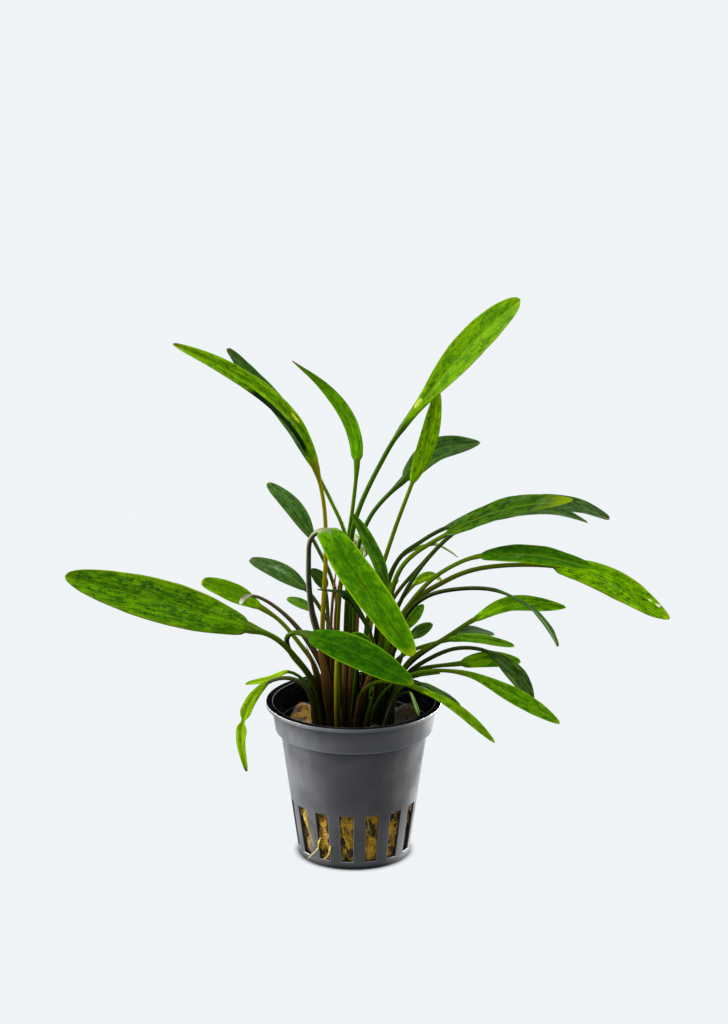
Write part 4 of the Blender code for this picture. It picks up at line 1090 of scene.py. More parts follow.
# %% The sheaths' places
# name: kind of skin, half widths at the foot, middle and end, half thickness, points upward from the foot
SHEATHS = {
    "brown_front": ("brown", (1.5, 1.75, 1.0), 0.6,
        ((-7.1, -5.5, 47.5), (-7.9, -6, 53.3), (-8.6, -6.2, 59.2), (-9.7, -6.2, 65.1), (-11.2, -6, 70.9))),
    "brown_left": ("brown", (0.9, 0.8, 0.5), 0.5,
        ((-9.6, -2.5, 46.8), (-10.7, -3.2, 54.3), (-12.7, -3.8, 62.7), (-14.8, -4.5, 69.5))),
    "olive_front": ("bright", (0.75, 0.7, 0.45), 0.5,
        ((-5.4, -7.5, 47.9), (-5.4, -7.8, 53.9), (-5.5, -7.8, 60.5), (-5.3, -7.2, 67.1), (-5.0, -6, 72.9))),
    "black_left": ("brown", (0.9, 0.85, 0.6), 0.5,
        ((-3.4, -9, 48.1), (-3.2, -9.2, 54.7), (-3.0, -9, 61.2), (-2.7, -8, 69.0))),
    "red_middle": ("brown", (0.9, 0.8, 0.6), 0.5,
        ((-1.2, -8.5, 47.9), (-1.2, -9, 54.7), (-1.0, -9, 61.2), (-0.9, -8.4, 69.1))),
    "green_middle": ("mid", (0.35, 0.4, 0.35), 0.3,
        ((-0.7, -10, 48.4), (-0.2, -10.5, 55.2), (0.4, -10.5, 61.7), (1.0, -10, 68.0))),
    "red_right": ("brown", (0.9, 0.95, 0.7), 0.5,
        ((1.0, -10.5, 48.6), (2.2, -11, 54.4), (4.1, -11, 59.6), (6.2, -10, 65.1))),
    "black_right": ("dark", (0.7, 0.7, 0.5), 0.5,
        ((3.8, -9.5, 48.6), (5.0, -10, 54.0), (7.2, -10, 58.9), (10.0, -9.5, 63.6))),
    "green_right": ("mid", (0.5, 0.55, 0.4), 0.4,
        ((5.9, -11.5, 49.6), (7.5, -12, 54.1), (10.3, -12, 58.0), (14.0, -12, 60.9))),
    "brown_back": ("brown", (0.9, 0.8, 0.5), 0.5,
        ((-0.6, -1, 53.5), (0.4, -1, 65.0), (1.1, -1, 74.8), (1.6, -1, 83.0))),
    "dark_back": ("dark", (0.8, 0.7, 0.5), 0.5,
        ((-3.1, 0, 53.2), (-2.4, 0, 64.7), (-2.1, 0, 76.1), (-1.6, 0, 87.5))),
    "blade_back": ("mid", (0.6, 0.55, 0.5), 0.3,
        ((-1.5, 1, 52.8), (-1.2, 1, 64.4), (-1.0, 1, 74.2), (-0.6, 1, 84.9))),
    "brown_far": ("brown", (0.9, 0.8, 0.5), 0.5,
        ((4.4, 0, 53.2), (4.1, 0, 61.4), (4.7, 0, 69.6), (6.3, 0, 77.8))),
    "thin_olive": ("brown", (0.6, 0.5, 0.45), 0.4,
        ((-6.2, -3, 50.9), (-6.9, -3, 64.1), (-7.1, -3, 73.9), (-6.4, -3, 85.2), (-5.2, -3, 94.9))),
    "thin_red": ("brown", (0.55, 0.45, 0.4), 0.4,
        ((-4.8, -4, 51.3), (-5.7, -4, 64.4), (-5.9, -4, 74.8), (-5.3, -4, 83.9), (-3.9, -4, 93.6))),
    "young_lime": ("lime", (0.4, 1.3, 1.0), 0.3,
        ((9.7, -3, 79.7), (10.7, -2.5, 83.8), (12.4, -2, 87.8), (14.0, -2, 89.9))),
    "red_far": ("brown", (0.8, 0.7, 0.5), 0.5,
        ((6.6, -3, 54.2), (7.2, -3, 61.4), (8.4, -3, 69.0), (10.6, -3, 76.5))),
}
print(len(SHEATHS), "sheaths")

# %% Grow the sheaths
SHEATH_STEP, LEAST_SHEATH_STEPS = 1.2, 12
SHEATH_FACES = Vector((0.1, -1, 0.3))  # the way their broad side looks
SHEATH_GUTTER = 0.3


def sheath_rail(name, halves, thick, points):
    """A flat stalk's rail, which draws in to its tip."""
    foot = Vector((points[0][0] * 0.95, points[0][1] * 0.9, FEET_HEIGHT - 0.4))
    line, _ = smooth_line([foot, *points])
    steps = max(LEAST_SHEATH_STEPS, round(length_of(line) / SHEATH_STEP))
    shares = [k / steps for k in range(steps + 1)]
    stations, length = walk(line, 0, len(line) - 1, shares)
    rows = []
    for share, (place, way) in zip(shares, stations):
        across = way.cross(SHEATH_FACES).normalized()
        low, high = soft(0, 0.45, share), soft(0.45, 0.85, share)
        half = (halves[0] * (1 - low) + halves[1] * low) * (1 - high) + halves[2] * high
        close = 1 - 0.85 * soft(0.82, 1, share)
        reach = (share - 1) * length
        rows.append((place, across, across.cross(way), half * close, thick * close, 0, share - 1, reach))
    return rail_mesh(name, rows)


SHEATH_LOOKS = ("brown", "dark", "mid", "bright", "lime")
SHEATH_SKINS = {look: leaf_material("sheath_" + look, look) for look in SHEATH_LOOKS}
for name, (look, halves, thick, points) in SHEATHS.items():
    sheath = grow("sheath_" + name, sheath_rail(name, halves, thick, points), leaf_skin, sides=NARROW_SIDES,
                  gutter=SHEATH_GUTTER, fold=0.0, ripple=0.0, seed=seed_of(name), material=SHEATH_SKINS[look])
    keep(sheath, look)
print(len(SHEATHS), "sheaths in", len(SHEATH_SKINS), "skins")

# %% [markdown]
# ## The net pot
# The pot is one moulding of dark plastic: a tapered wall with fifteen tall slots
# round its foot, a wider collar with a rim lip, and a floor with drains. One
# slot's share of the wall is drawn once as a clean grid, with its slot left open,
# and a Geometry Nodes tree repeats it round the axis and welds the seams. A
# boolean would leave slivers round each slot, where a bevel then fails.

# %% The pot's sizes
POT_HEIGHT, RIM_RADIUS, RIM_INSIDE, RIM_DEPTH = 50.0, 27.5, 25.4, 1.2
COLLAR_TOP_RADIUS, COLLAR_MIDDLE = 25.7, 45.0
COLLAR_FOOT_RADIUS, COLLAR_FOOT, STEP_DEPTH, SHELF = 24.6, 41.0, 0.8, 42.6
BASE_RADIUS, FLARE, WALL, FLOOR = 17.4, 0.138, 0.8, 1.2
SLOTS, SLOT_OFFSET = 15, -6.7
SLOT_FOOT, SLOT_TOP, SLOT_FOOT_WIDTH, SLOT_TOP_WIDTH = 2.6, 18.5, 3.6, 4.5
SLOT_STEPS = 6  # rows of faces beside a slot
BORDER = 0.3  # the width of the painted highlight along an edge
PITCH = 360 / SLOTS
print("a slot each", PITCH, "degrees")

# %% The wall's profile


def body_radius(height):
    """The outer radius of the pot's tapered body."""
    return BASE_RADIUS + FLARE * height


def on_circle(radius, degrees, height):
    """A point of the pot, in metres."""
    turn = math.radians(degrees)
    return (radius * math.cos(turn) * MM, radius * math.sin(turn) * MM, height * MM)


slot_rows = [SLOT_FOOT + (SLOT_TOP - SLOT_FOOT) * k / SLOT_STEPS for k in range(SLOT_STEPS + 1)]
lip_foot, step_foot = POT_HEIGHT - RIM_DEPTH, COLLAR_FOOT - STEP_DEPTH
body = [0.5, SLOT_FOOT - BORDER, *slot_rows, SLOT_TOP + BORDER, 26, 32, 37, step_foot - BORDER, step_foot]
outside = [(BASE_RADIUS - 0.45, 0.0), (body_radius(0.15), 0.12)] + [(body_radius(z), z) for z in body]
outside += [(COLLAR_FOOT_RADIUS, COLLAR_FOOT), (COLLAR_FOOT_RADIUS + 0.04, COLLAR_FOOT + BORDER),
            (COLLAR_FOOT_RADIUS + 0.55, COLLAR_MIDDLE), (COLLAR_TOP_RADIUS, lip_foot), (RIM_RADIUS, lip_foot),
            (RIM_RADIUS, POT_HEIGHT), (RIM_RADIUS - BORDER, POT_HEIGHT), (RIM_INSIDE + BORDER, POT_HEIGHT)]
shelf_radius = COLLAR_FOOT_RADIUS - WALL
inside = [(RIM_INSIDE, POT_HEIGHT), (RIM_INSIDE, POT_HEIGHT - BORDER), (RIM_INSIDE, lip_foot),
          (COLLAR_TOP_RADIUS - WALL, lip_foot - 0.4), (shelf_radius + 0.04, SHELF + BORDER / 2),
          (shelf_radius, SHELF), (shelf_radius - 0.2, SHELF - 0.2),
          (body_radius(COLLAR_FOOT) - WALL, COLLAR_FOOT)]
inside += [(body_radius(z) - WALL, z) for z in (36, 31, 25, 20)]
inside += [(body_radius(z) - WALL, z) for z in reversed(slot_rows)] + [(body_radius(0) - WALL, 0.0)]
profile = outside + inside
# how bright the painted highlight on each of these edges is
EDGE_HIGHLIGHTS = {(COLLAR_FOOT_RADIUS, COLLAR_FOOT): 1.6, (RIM_INSIDE, POT_HEIGHT): 0.9,
         (RIM_RADIUS, POT_HEIGHT): 0.35, (shelf_radius, SHELF): 0.6}
print("the wall's profile:", len(profile), "points")

# %% One slot's share of the wall
first_out, first_in = profile.index((body_radius(SLOT_FOOT), SLOT_FOOT)), len(profile) - 2
last_out, last_in = first_out + SLOT_STEPS, first_in - SLOT_STEPS
SLOT_COLUMNS = (2, 3, 4)
bm = bmesh.new()
highlight_layer, lining_layer = bm.verts.layers.float.new("line"), bm.verts.layers.float.new("lining")
grid = []
for k, (radius, height) in enumerate(profile):
    share = min(1, max(0, (height - SLOT_FOOT) / (SLOT_TOP - SLOT_FOOT)))
    half = math.degrees((SLOT_FOOT_WIDTH + (SLOT_TOP_WIDTH - SLOT_FOOT_WIDTH) * share) / 2 / radius)
    border = half + math.degrees(BORDER / radius)
    turns = [-PITCH / 2, -border, -half, -half / 3, half / 3, half, border, PITCH / 2]
    row = [bm.verts.new(on_circle(radius, t, height)) for t in turns]
    for j, v in enumerate(row):
        v[lining_layer] = float(k >= len(outside) - 2)
        # Each point's painted highlight: on the listed edges, and round the slot.
        v[highlight_layer] = EDGE_HIGHLIGHTS.get((radius, height), float(first_out <= k <= last_out and 2 <= j <= 5))
    grid.append(row)
for k in range(len(profile)):
    n = (k + 1) % len(profile)
    for j in range(7):
        if j in SLOT_COLUMNS and (first_out <= k < last_out or last_in <= k < first_in):
            continue
        bm.faces.new((grid[k][j], grid[k][j + 1], grid[n][j + 1], grid[n][j]))
for step in range(SLOT_STEPS):  # the slot's two sides
    a, b, c, d = first_out + step, first_out + step + 1, first_in - step, first_in - step - 1
    bm.faces.new((grid[a][2], grid[b][2], grid[d][2], grid[c][2]))
    bm.faces.new((grid[b][5], grid[a][5], grid[c][5], grid[d][5]))
for j in SLOT_COLUMNS:  # its foot and its top
    bm.faces.new((grid[first_out][j + 1], grid[first_out][j], grid[first_in][j], grid[first_in][j + 1]))
    bm.faces.new((grid[last_out][j], grid[last_out][j + 1], grid[last_in][j + 1], grid[last_in][j]))
bmesh.ops.recalc_face_normals(bm, faces=bm.faces)
wall_share = bpy.data.meshes.new("slot_share")
bm.to_mesh(wall_share)
bm.free()
print("one share of the wall:", len(wall_share.polygons), "faces")

# %% The ring tree
tree, given, made = new_group("ring_of_shares", "GeometryNodeTree", {
    "Share": ("Geometry", None), "Count": ("Int", SLOTS), "First Turn": ("Float", 0.0),
    "Weld": ("Float", 0.00002), **many("Material", "Material", "Lining")}, {"Ring": ("Geometry", None)})
ring_of_shares = tree
stops = put(tree, "GeometryNodePoints", {"Count": given["Count"]})
turn = sums(tree, "MULTIPLY_ADD", put(tree, "GeometryNodeInputIndex"),
            sums(tree, "DIVIDE", math.tau, given["Count"]), given["First Turn"])
turn = put(tree, "FunctionNodeAxisAngleToRotation", {"Axis": (0, 0, 1), "Angle": turn})
ring = put(tree, "GeometryNodeInstanceOnPoints",
           {"Points": stops, "Instance": given["Share"], "Rotation": turn})
ring = put(tree, "GeometryNodeRealizeInstances", {0: ring})
ring = put(tree, "GeometryNodeMergeByDistance", {0: ring, "Distance": given["Weld"]})
ring = put(tree, "GeometryNodeSetShadeSmooth", {0: ring})
ring = put(tree, "GeometryNodeSetMaterial", {0: ring, "Material": given["Material"]})
inner = put(tree, "GeometryNodeInputNamedAttribute", {"Name": "lining"}, data_type="FLOAT")
inner = sums(tree, "GREATER_THAN", inner, 0.4)
ring = put(tree, "GeometryNodeSetMaterial", {0: ring, "Selection": inner, "Material": given["Lining"]})
wire(tree, [(ring, made["Ring"])])
print("ring tree:", len(tree.nodes), "nodes")

# %% [markdown]
# ## Moulded plastic
# The pot's plastic is dark and matt, with a very fine texture from the mould. It
# brightens toward the pot's sides because a matt surface reflects more at a
# glancing angle. A lighter colour paints a thin highlight along its edges, and a
# bevel rounds them; painted shade darkens its foot. The inside is the same plastic
# painted near black as painted shade, so both materials take their clouds, lines
# and grain from one group.

# %% The plastic's pattern
COLLAR_HIGHLIGHT = (0.0406, 0.0412)  # metres over the table, where a painted highlight marks the collar's foot
FOOT_SHADE = (0.0006, 0.0019)  # and where painted shade darkens the pot's foot
tree, given, made = new_group("moulded_plastic", "ShaderNodeTree", {
    **many("Color", "Low", "High", "Line"), "Dull": ("Float", 0.5), "Collar": ("Float", 0.0)},
    {**many("Color", "Color"), **many("Float", "Roughness", "Height")})
moulded_plastic = tree
place = object_place(tree)
cloud = put(tree, "ShaderNodeTexNoise", {"Vector": place, "Scale": 90, "Detail": 4})
grain = put(tree, "ShaderNodeTexNoise", {"Vector": place, "Scale": 2600, "Detail": 2})
dried = vectors(tree, "MULTIPLY", place, (1, 1, 3))
dried = put(tree, "ShaderNodeTexNoise", {"Vector": dried, "Scale": 150, "Detail": 3})
over_table = parts(tree, place)[2]
colour = blend(tree, ramp(tree, cloud, 0.35, 0.65), given["Low"], given["High"])
colour = blend(tree, ramp(tree, dried, 0.5, 0.75, 0, 0.04), colour, given["Line"])
# Painted highlights along the edges.
colour = blend(tree, sums(tree, "MULTIPLY", attribute(tree, "line"), 0.75), colour, given["Line"])
# A painted highlight on the collar's foot.
colour = blend(tree, ramp(tree, over_table, *COLLAR_HIGHLIGHT, 0, given["Collar"]), colour, given["Line"])
# Painted shade at the pot's foot.
colour = blend(tree, ramp(tree, over_table, *FOOT_SHADE, 0.95, 0), colour, (0.002, 0.002, 0.002, 1))
smooth, rough = (sums(tree, way, given["Dull"], 0.07) for way in ("SUBTRACT", "ADD"))
rough = ramp(tree, cloud, 0.3, 0.7, smooth, rough)
wire(tree, [(colour, made["Color"]), (rough, made["Roughness"]), (grain, made["Height"])])
print("moulded plastic:", len(tree.nodes), "nodes")

# %% The pot's wall


def plastic(name, low, high, line, dull, collar, shine):
    """Moulded plastic in these colours."""
    material, tree, shader = new_material(name, ior=1.5, specular_ior_level=shine)
    made = grouped(tree, moulded_plastic, {
        "Low": low, "High": high, "Line": line, "Dull": dull, "Collar": collar})
    wire(tree, [(made["Color"], shader["Base Color"]), (made["Roughness"], shader["Roughness"]),
                (bump(tree, made["Height"], 0.12, 0.0001), shader["Normal"])])
    return material


def soften(piece, width):
    """Rounds a piece's sharp edges, and keeps the result in its mesh. The width is in mm."""
    bevel = piece.modifiers.new("soften", "BEVEL")
    bevel.width, bevel.segments = width * MM, 2
    bevel.limit_method, bevel.angle_limit = "ANGLE", math.radians(30)
    bevel.harden_normals = True
    freeze(piece)


pot_plastic = plastic("pot_plastic_moulded", rgb(79, 81, 84), rgb(89, 91, 94), rgb(150, 154, 158),
                      0.43, 0.14, 0.5)
# The inside is the same plastic painted near black: painted shade.
pot_inside_painted_shade = plastic("pot_plastic_inside_painted_shade", rgb(8, 8, 9), rgb(13, 13, 14), rgb(136, 140, 144), 0.75, 0.0, 0.0)
wall = grow("pot_wall", wall_share, ring_of_shares, count=SLOTS, first_turn=math.radians(-90 + SLOT_OFFSET),
            material=pot_plastic, lining=pot_inside_painted_shade)
soften(wall, 0.16)
keep(wall, "pot_plastic", "pot")
print("pot wall:", len(wall.data.polygons), "faces")

# %% [markdown]
# ## The pot's floor, and the light on the pot
# The floor closes the pot at its foot. Its six drains are a guess, because the
# photograph doesn't show them. One sixth is drawn with its drain left open, and
# the ring tree repeats it. Then the wall and the floor go into a collection,
# because a light can be linked to a collection. That is how the two lights for
# the sheen leave the leaves alone.

# %% The pot's floor
DRAINS = 6
DRAIN_RINGS = (0, 5.5, 9, 13, body_radius(0.6) - WALL + 0.25)  # a drain runs over the second and third gap
DRAIN_HALF_WIDTH = 1.2
UNDERSIDE = 0.15


def drain_share():
    """A sixth of the floor, with its drain left open."""
    bm = bmesh.new()
    layers = []
    for height in (UNDERSIDE, FLOOR):
        rows = []
        for r in DRAIN_RINGS:
            span = math.degrees(math.asin(min(1, DRAIN_HALF_WIDTH / r))) if r else 0
            turns = (-30, -span, span, 30) if r else (0, 0, 0, 0)
            rows.append([bm.verts.new(on_circle(r, t, height)) for t in turns])
        layers.append(rows)
    for rows, flip in zip(layers, (True, False)):
        for k in range(4):
            for j in range(3):
                if k in (1, 2) and j == 1:
                    continue
                corners = [rows[k][j], rows[k + 1][j], rows[k + 1][j + 1], rows[k][j + 1]]
                bm.faces.new(corners[::-1] if flip else corners)
    under, over = layers
    for k in (1, 2):
        bm.faces.new((under[k][1], over[k][1], over[k + 1][1], under[k + 1][1]))
        bm.faces.new((under[k + 1][2], over[k + 1][2], over[k][2], under[k][2]))
    bm.faces.new((under[1][2], over[1][2], over[1][1], under[1][1]))
    bm.faces.new((under[3][1], over[3][1], over[3][2], under[3][2]))
    for j in range(3):
        bm.faces.new((under[4][j], over[4][j], over[4][j + 1], under[4][j + 1]))
    bmesh.ops.remove_doubles(bm, verts=bm.verts, dist=0.000001)
    mesh = bpy.data.meshes.new("drain_share")
    bm.to_mesh(mesh)
    bm.free()
    return mesh


base = grow("pot_base", drain_share(), ring_of_shares, count=DRAINS, first_turn=0.0, material=pot_plastic,
            lining=pot_inside_painted_shade)
soften(base, 0.1)
keep(base, "pot_plastic", "pot")
print("pot base:", len(base.data.polygons), "faces")

# %% The light that only the pot takes
pot_pieces = bpy.data.collections.new("pot_pieces")
pot_pieces.objects.link(wall)
pot_pieces.objects.link(base)
for sheet in pot_sheets:
    sheet.light_linking.receiver_collection = pot_pieces

# %% [markdown]
# ## Rockwool
# Rockwool is spun stone: a mass of golden brown fibres. The dark hollows between
# them are painted shade, and so is much of the darkness on its top, which is also
# wet. The plug is a turned mesh whose surface is pushed in and out by noise, and
# thousands of bent strands lie over it. A strand has few faces because there are
# so many, and a Geometry Nodes tree scatters them from a fixed seed. The plug and
# the strands take their colours from one group of fibres.

# %% The plug's shape
WOOL_TOP = 42.2
WOOL_LUMPS = ((-16, 9, 3.6), (17, 9, 3.2), (-3, -17, 0.5), (1, 16, 1.6))
LUMP_REACH = 7.0
PLUG_GAP = 0.25  # mm between the plug and the pot's wall
PLUG_SHOULDER, PLUG_BRIM, BRIM_REACH = 40.5, 41.2, 1.5


def wool_height(x, y):
    """The height of the plug's top: level, with a few lumps."""
    height = WOOL_TOP
    for lump_x, lump_y, lump in WOOL_LUMPS:
        away = min(1, math.hypot(x - lump_x, y - lump_y) / LUMP_REACH)
        height += lump * 0.5 * (1 + math.cos(math.pi * away))
    return height


def wool_top(x, y, radius, edge):
    """A point of the plug's top, which sinks to its brim at the edge."""
    knobs = 0.8 * noise.fractal(Vector((x, y, 0)) * 0.45, 1, 2, 4) * min(1, (edge - radius) / 2)
    brim = soft(edge - BRIM_REACH, edge, radius)
    return Vector((x, y, wool_height(x, y) * (1 - brim) + PLUG_BRIM * brim + knobs))


def wool_side(x, y, radius, height):
    """A point of the plug's side, with hollows."""
    hollow = soft(0.05, 0.55, noise.fractal(Vector((x * 0.55, y * 0.55, height * 0.3)), 1, 2, 3))
    share = 1 - (1.5 * hollow + 0.12 * (1 + noise.noise(Vector((x, y, height)) * 2))) / radius
    return Vector((x * share, y * share, height))


print("the plug's top stands", round(POT_HEIGHT - WOOL_TOP, 1), "mm under the rim")

# %% The plug's mesh
PLUG_STEPS, TOP_RINGS, SIDE_RINGS = 180, 26, 39


def make_plug():
    """A disc of rings on top, and a wall down to the pot's floor."""
    bm = bmesh.new()
    edge = body_radius(PLUG_SHOULDER) - WALL - PLUG_GAP
    profile = [(edge * k / TOP_RINGS, None) for k in range(1, TOP_RINGS + 1)]
    profile += [(body_radius(z) - WALL - PLUG_GAP, z) for z in [PLUG_SHOULDER - k for k in range(SIDE_RINGS)]]
    rows = [[bm.verts.new((0, 0, wool_height(0, 0) * MM))]]
    for radius, height in profile:
        row = []
        for k in range(PLUG_STEPS):
            x, y = radius * math.cos(math.tau * k / PLUG_STEPS), radius * math.sin(math.tau * k / PLUG_STEPS)
            point = wool_top(x, y, radius, edge) if height is None else wool_side(x, y, radius, height)
            row.append(bm.verts.new(point * MM))
        rows.append(row)
    for k in range(PLUG_STEPS):
        bm.faces.new((rows[0][0], rows[1][k], rows[1][(k + 1) % PLUG_STEPS]))
    for low, high in zip(rows[1:], rows[2:]):
        for k in range(PLUG_STEPS):
            n = (k + 1) % PLUG_STEPS
            bm.faces.new((low[k], high[k], high[n], low[n]))
    bm.faces.new(list(reversed(rows[-1])))
    return bm


print("the plug has", TOP_RINGS, "rings on top and", SIDE_RINGS, "down its side")

# %% Fibres
THREADS = ((1, 1, 0.12), (0.12, 0.3, 1), (1, 0.15, 0.3))  # how each of three noises is drawn out
TOP_OF_WOOL = (0.039, 0.041)  # metres over the table, where the plug turns from its side to its top
WET_AND_SHADED_FROM = (-0.0125, -0.007)  # metres to the right, where the top turns dark with water and painted shade
tree, given, made = new_group("wool_fibres", "ShaderNodeTree", {
    **many("Color", "Light", "Dark", "Hollow Shade"), "Size": ("Float", 1000.0)},
    {**many("Color", "Color"), **many("Float", "Height")})
wool_fibres = tree
place = object_place(tree)
spot = parts(tree, place)
warp = put(tree, "ShaderNodeTexNoise", {"Vector": place, "Scale": 300, "Detail": 2}, 1)
warp = vectors(tree, "ADD", place, scaled(tree, warp, 0.004))
threads = []
for stretch in THREADS:
    drawn = scaled(tree, vectors(tree, "MULTIPLY", warp, stretch), given["Size"])
    inputs = {"Vector": drawn, "Scale": 1, "Detail": 3, "Roughness": 0.6}
    threads.append(put(tree, "ShaderNodeTexNoise", inputs))
fibre = sums(tree, "MAXIMUM", sums(tree, "MAXIMUM", threads[0], threads[1]), threads[2])
# Painted shade in the hollows between the fibres, and near black painted shade in larger holes.
hollow = put(tree, "ShaderNodeTexNoise", {"Vector": place, "Scale": 420, "Detail": 4, "Roughness": 0.7})
hollow = ramp(tree, hollow, 0.34, 0.46)
patch = vectors(tree, "MULTIPLY", place, (1, 1, 0.5))
patch = put(tree, "ShaderNodeTexNoise", {"Vector": patch, "Scale": 290, "Detail": 4})
colour = blend(tree, ramp(tree, fibre, 0.48, 0.66), given["Dark"], given["Light"])
colour = blend(tree, hollow, given["Hollow Shade"], colour)
colour = blend(tree, ramp(tree, patch, 0.51, 0.56, 0, 0.97), colour, scaled(tree, given["Dark"], 0.08))
colour = blend(tree, ramp(tree, spot[2], *TOP_OF_WOOL, 0, 0.6), colour, rgb(96, 66, 24))
# The top darkens with wetness and with painted shade from the stalks above it.
wet_and_painted_shade = sums(tree, "MULTIPLY", ramp(tree, spot[2], *TOP_OF_WOOL), ramp(tree, spot[0], *WET_AND_SHADED_FROM))
colour = blend(tree, wet_and_painted_shade, colour, blend(tree, 0.8, colour, (0.004, 0.003, 0.001, 1)))
wire(tree, [(colour, made["Color"]), (sums(tree, "MULTIPLY", fibre, hollow), made["Height"])])
print("wool fibres:", len(tree.nodes), "nodes")

# %% The plug


def wool_material(name, light, dark, gap, size):
    """Fibres in these colours; the gap colour is painted shade in the hollows. The size is in features per
    metre.
    """
    material, tree, shader = new_material(name, roughness=0.9, specular_ior_level=0.3, sheen_weight=0.3,
                                          sheen_roughness=0.5)
    made = grouped(tree, wool_fibres, {"Light": light, "Dark": dark, "Hollow Shade": gap, "Size": size})
    wire(tree, [(made["Color"], shader["Base Color"]),
                (bump(tree, made["Height"], 0.9, 0.0009), shader["Normal"])])
    return material


wool = wool_material("rockwool_mass", rgb(255, 208, 44), rgb(192, 134, 12), rgb(16, 11, 3), 1500)
plug = mesh_object("rockwool_plug", make_plug(), wool)
plug.data.shade_smooth()
keep(plug, "rockwool", "rockwool")
print("plug:", len(plug.data.polygons), "faces")

# %% The strand tree
tree, given, made = new_group("scattered_strands", "GeometryNodeTree", {
    "Surface": ("Geometry", None), "Density": ("Float", 400000.0), "Length": ("Float", 0.003),
    "Thickness": ("Float", 0.00008), "Lift": ("Float", 0.0004), "Seed": ("Int", 3),
    "Material": ("Material", None)}, {"Strands": ("Geometry", None)})
scattered_strands = tree
spots = feed(tree, tree.nodes.new("GeometryNodeDistributePointsOnFaces"), {
    "Mesh": given["Surface"], "Density": given["Density"], "Seed": given["Seed"]})
start = put(tree, "ShaderNodeCombineXYZ", {0: sums(tree, "MULTIPLY", given["Length"], -0.5)})
bend = put(tree, "ShaderNodeCombineXYZ", {1: sums(tree, "MULTIPLY", given["Length"], 0.3), 2: given["Lift"]})
end = put(tree, "ShaderNodeCombineXYZ", {0: sums(tree, "MULTIPLY", given["Length"], 0.5)})
strand = put(tree, "GeometryNodeCurveQuadraticBezier",
             {"Resolution": 5, "Start": start, "Middle": bend, "End": end})
ring = put(tree, "GeometryNodeCurvePrimitiveCircle", {"Resolution": 3, "Radius": given["Thickness"]})
strand = put(tree, "GeometryNodeCurveToMesh", {"Curve": strand, "Profile Curve": ring, "Fill Caps": True})
spin = put(tree, "FunctionNodeRandomValue", {2: 0.0, 3: math.tau, "Seed": given["Seed"]}, 1,
           data_type="FLOAT")
spin = put(tree, "FunctionNodeAxisAngleToRotation", {"Axis": (0, 0, 1), "Angle": spin})
spin = put(tree, "FunctionNodeRotateRotation", {"Rotation": spots["Rotation"], "Rotate By": spin},
           rotation_space="LOCAL")
size = put(tree, "FunctionNodeRandomValue",
           {0: (0.4, 0.1, 0.1), 1: (1.5, 1.4, 1.0), "Seed": sums(tree, "ADD", given["Seed"], 1)},
           data_type="FLOAT_VECTOR")
strands = put(tree, "GeometryNodeInstanceOnPoints",
              {"Points": spots["Points"], "Instance": strand, "Rotation": spin, "Scale": size})
strands = put(tree, "GeometryNodeRealizeInstances", {0: strands})
strands = put(tree, "GeometryNodeSetShadeSmooth", {0: strands})
strands = put(tree, "GeometryNodeSetMaterial", {0: strands, "Material": given["Material"]})
wire(tree, [(strands, made["Strands"])])
print("strand tree:", len(tree.nodes), "nodes")

# %% Scatter the strands
STRANDS = ((3.2, 0.06, 330000), (1.6, 0.045, 330000))  # length and radius in mm, number on a square metre
FIRST_SEED = 11
strand_gold = wool_material("strand_gold", rgb(248, 192, 48), rgb(170, 120, 18), rgb(40, 28, 6), 700)
for k, (length, thickness, density) in enumerate(STRANDS):
    strands = grow(f"rockwool_strands_{k + 1}", plug.data.copy(), scattered_strands, density=density,
                   length=length * MM, thickness=thickness * MM, lift=0.25 * MM, seed=FIRST_SEED + k,
                   material=strand_gold)
    keep(strands, "rockwool", "rockwool")
    print(strands.name, len(strands.data.polygons), "faces")

# %% [markdown]
# ## Crowns and roots
# A crown is the short brown rootstock that a tuft of leaves grows from, rough
# with the scars of old leaves. Roots are pale and round, thinner toward their
# ends, and never quite straight. A tree turns each root's line into a tapered
# tube with closed ends. Both are skins that vary a little from place to place,
# so one group of mottling serves them.

# %% Mottling
tree, given, made = new_group("mottling", "ShaderNodeTree", {
    **many("Color", "First", "Second"), "Scale": ("Float", 800.0), "Detail": ("Float", 3.0),
    "Contrast": ("Float", 0.4), "Smooth": ("Float", 0.4), "Rough": ("Float", 0.7)},
    {**many("Color", "Color"), **many("Float", "Roughness", "Height")})
mottling = tree
patch = put(tree, "ShaderNodeTexNoise",
            {"Vector": object_place(tree), "Scale": given["Scale"], "Detail": given["Detail"]})
low, high = (sums(tree, "MULTIPLY_ADD", given["Contrast"], way, 0.5) for way in (-0.5, 0.5))
wire(tree, [(blend(tree, ramp(tree, patch, low, high), given["First"], given["Second"]), made["Color"]),
            (ramp(tree, patch, 0.3, 0.7, given["Smooth"], given["Rough"]), made["Roughness"]),
            (patch, made["Height"])])
print("mottling:", len(tree.nodes), "nodes")

# %% Crowns


def mottled(material, tree, shader, strength, distance, **values):
    """Gives a material mottled colours, and unevenness of this strength and depth."""
    made = grouped(tree, mottling, {key.title(): value for key, value in values.items()})
    wire(tree, [(made["Color"], shader["Base Color"]), (made["Roughness"], shader["Roughness"]),
                (bump(tree, made["Height"], strength, distance), shader["Normal"])])
    return material


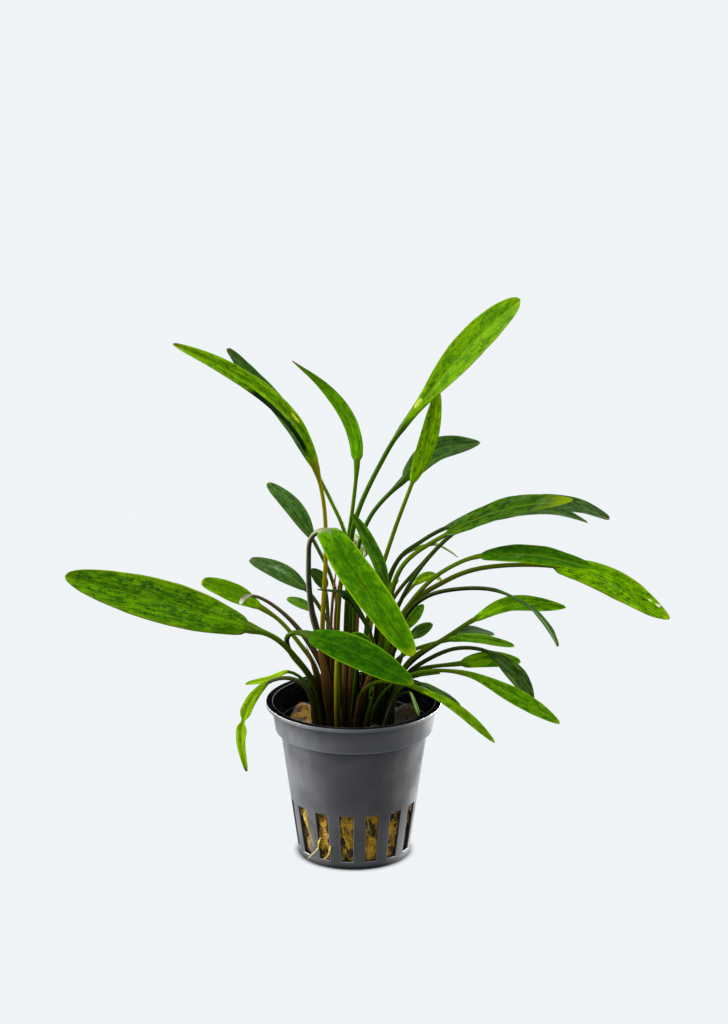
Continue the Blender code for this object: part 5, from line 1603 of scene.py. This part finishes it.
CROWN_RADIUS, CROWN_HALF_HEIGHT, CROWN_LIFT = 2, 1.8, 0.3
bark = mottled(*new_material("crown_bark", specular_ior_level=0.4), 0.7, 0.0006, first=rgb(30, 20, 8),
               second=rgb(62, 44, 16), scale=700, detail=4, contrast=0.3, smooth=0.5, rough=0.8)
for name, (x, y) in CROWNS.items():
    bm = bmesh.new()
    bmesh.ops.create_icosphere(bm, subdivisions=4, radius=1)
    middle = Vector((x, y, WOOL_TOP + CROWN_LIFT + CROWN_HALF_HEIGHT))
    for v in bm.verts:
        rough = 1 + 0.12 * noise.fractal(v.co * 2.2 + middle, 1, 2, 3) - 0.1
        knob = Vector((v.co.x * CROWN_RADIUS, v.co.y * CROWN_RADIUS, v.co.z * CROWN_HALF_HEIGHT))
        v.co = (middle + knob * rough) * MM
    crown = mesh_object(f"crown_{name}_knob", bm, bark)
    crown.data.shade_smooth()
    keep(crown, "crown", f"crown_{name}")
print(len(CROWNS), "crowns")

# %% The root tree
tree, given, made = new_group("tapered_root", "GeometryNodeTree", {
    "Line": ("Geometry", None), "Thickness": ("Float", 0.0003), "Tip Share": ("Float", 0.5),
    "Sides": ("Int", 12), "Material": ("Material", None)}, {"Root": ("Geometry", None)})
tapered_root = tree
curve = put(tree, "GeometryNodeMeshToCurve", {0: given["Line"]})
share = put(tree, "GeometryNodeSplineParameter")
taper = put(tree, "ShaderNodeMapRange", {"Value": share, "To Min": 1.0, "To Max": given["Tip Share"]})
ring = put(tree, "GeometryNodeCurvePrimitiveCircle",
           {"Resolution": given["Sides"], "Radius": given["Thickness"]})
tube = put(tree, "GeometryNodeCurveToMesh",
           {"Curve": curve, "Profile Curve": ring, "Scale": taper, "Fill Caps": True})
tube = put(tree, "GeometryNodeRealizeInstances", {0: put(tree, "GeometryNodeSetShadeSmooth", {0: tube})})
wire(tree, [(put(tree, "GeometryNodeSetMaterial", {0: tube, "Material": given["Material"]}), made["Root"])])
print("root tree:", len(tree.nodes), "nodes")

# %% Roots
ROOTS = {
    "root_left_long": (
        (-15, -11.4, 17), (-15.5, -12.7, 16.2), (-14.4, -14.4, 13.5), (-13.6, -14.3, 10.5),
        (-12.6, -14.1, 6.6)),
    "root_left_bent": ((-10.3, -14.6, 9.6), (-10.9, -15.8, 8.6), (-11.1, -15.8, 6.8), (-14.2, -14.2, 2.6)),
    "root_inner_long": ((-3.9, -18.1, 17.0), (-3.3, -18.2, 14), (-2.9, -18.0, 11), (-1.6, -17.9, 7.5)),
    "root_inner_right": ((4.3, -18.1, 17), (4.6, -18, 14.5), (5.4, -17.6, 12.3)),
    "root_front": ((-7.0, -15.5, 9.0), (-7.3, -16.9, 7.6), (-7.9, -17.8, 5.2), (-9.3, -17.3, 3.5)),
}
THICK_ROOT, THIN_ROOT = 0.27, 0.14  # radii in mm. The thin ones, named inner, are behind the slots.
root_skin = mottled(*new_material("root_skin", subsurface_weight=0.15, subsurface_scale=0.001), 0.4, 0.0002,
                    first=rgb(252, 232, 90), second=rgb(206, 176, 40), scale=900, detail=3, contrast=0.4,
                    smooth=0.35, rough=0.6)
for name, points in ROOTS.items():
    inner = "inner" in name
    line, _ = smooth_line(points, 10)
    root = grow(name + "_skin", polyline(name + "_line", line), tapered_root,
                thickness=(THIN_ROOT if inner else THICK_ROOT) * MM, tip_share=0.55, sides=12,
                material=root_skin)
    keep(root, "root", *([] if inner else [name]))
print(len(ROOTS), "roots")

# %% [markdown]
# ## Sizes
# The last cell prints the box of the plain solids and the box of the dressed plant. Both boxes go
# to a file, and the last call checks that every piece has a place.

# %% Sizes, and the end
size = {"cad": [list(corner) for corner in cad_box], "visual": [list(corner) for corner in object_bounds()]}
print("boxes:", size)
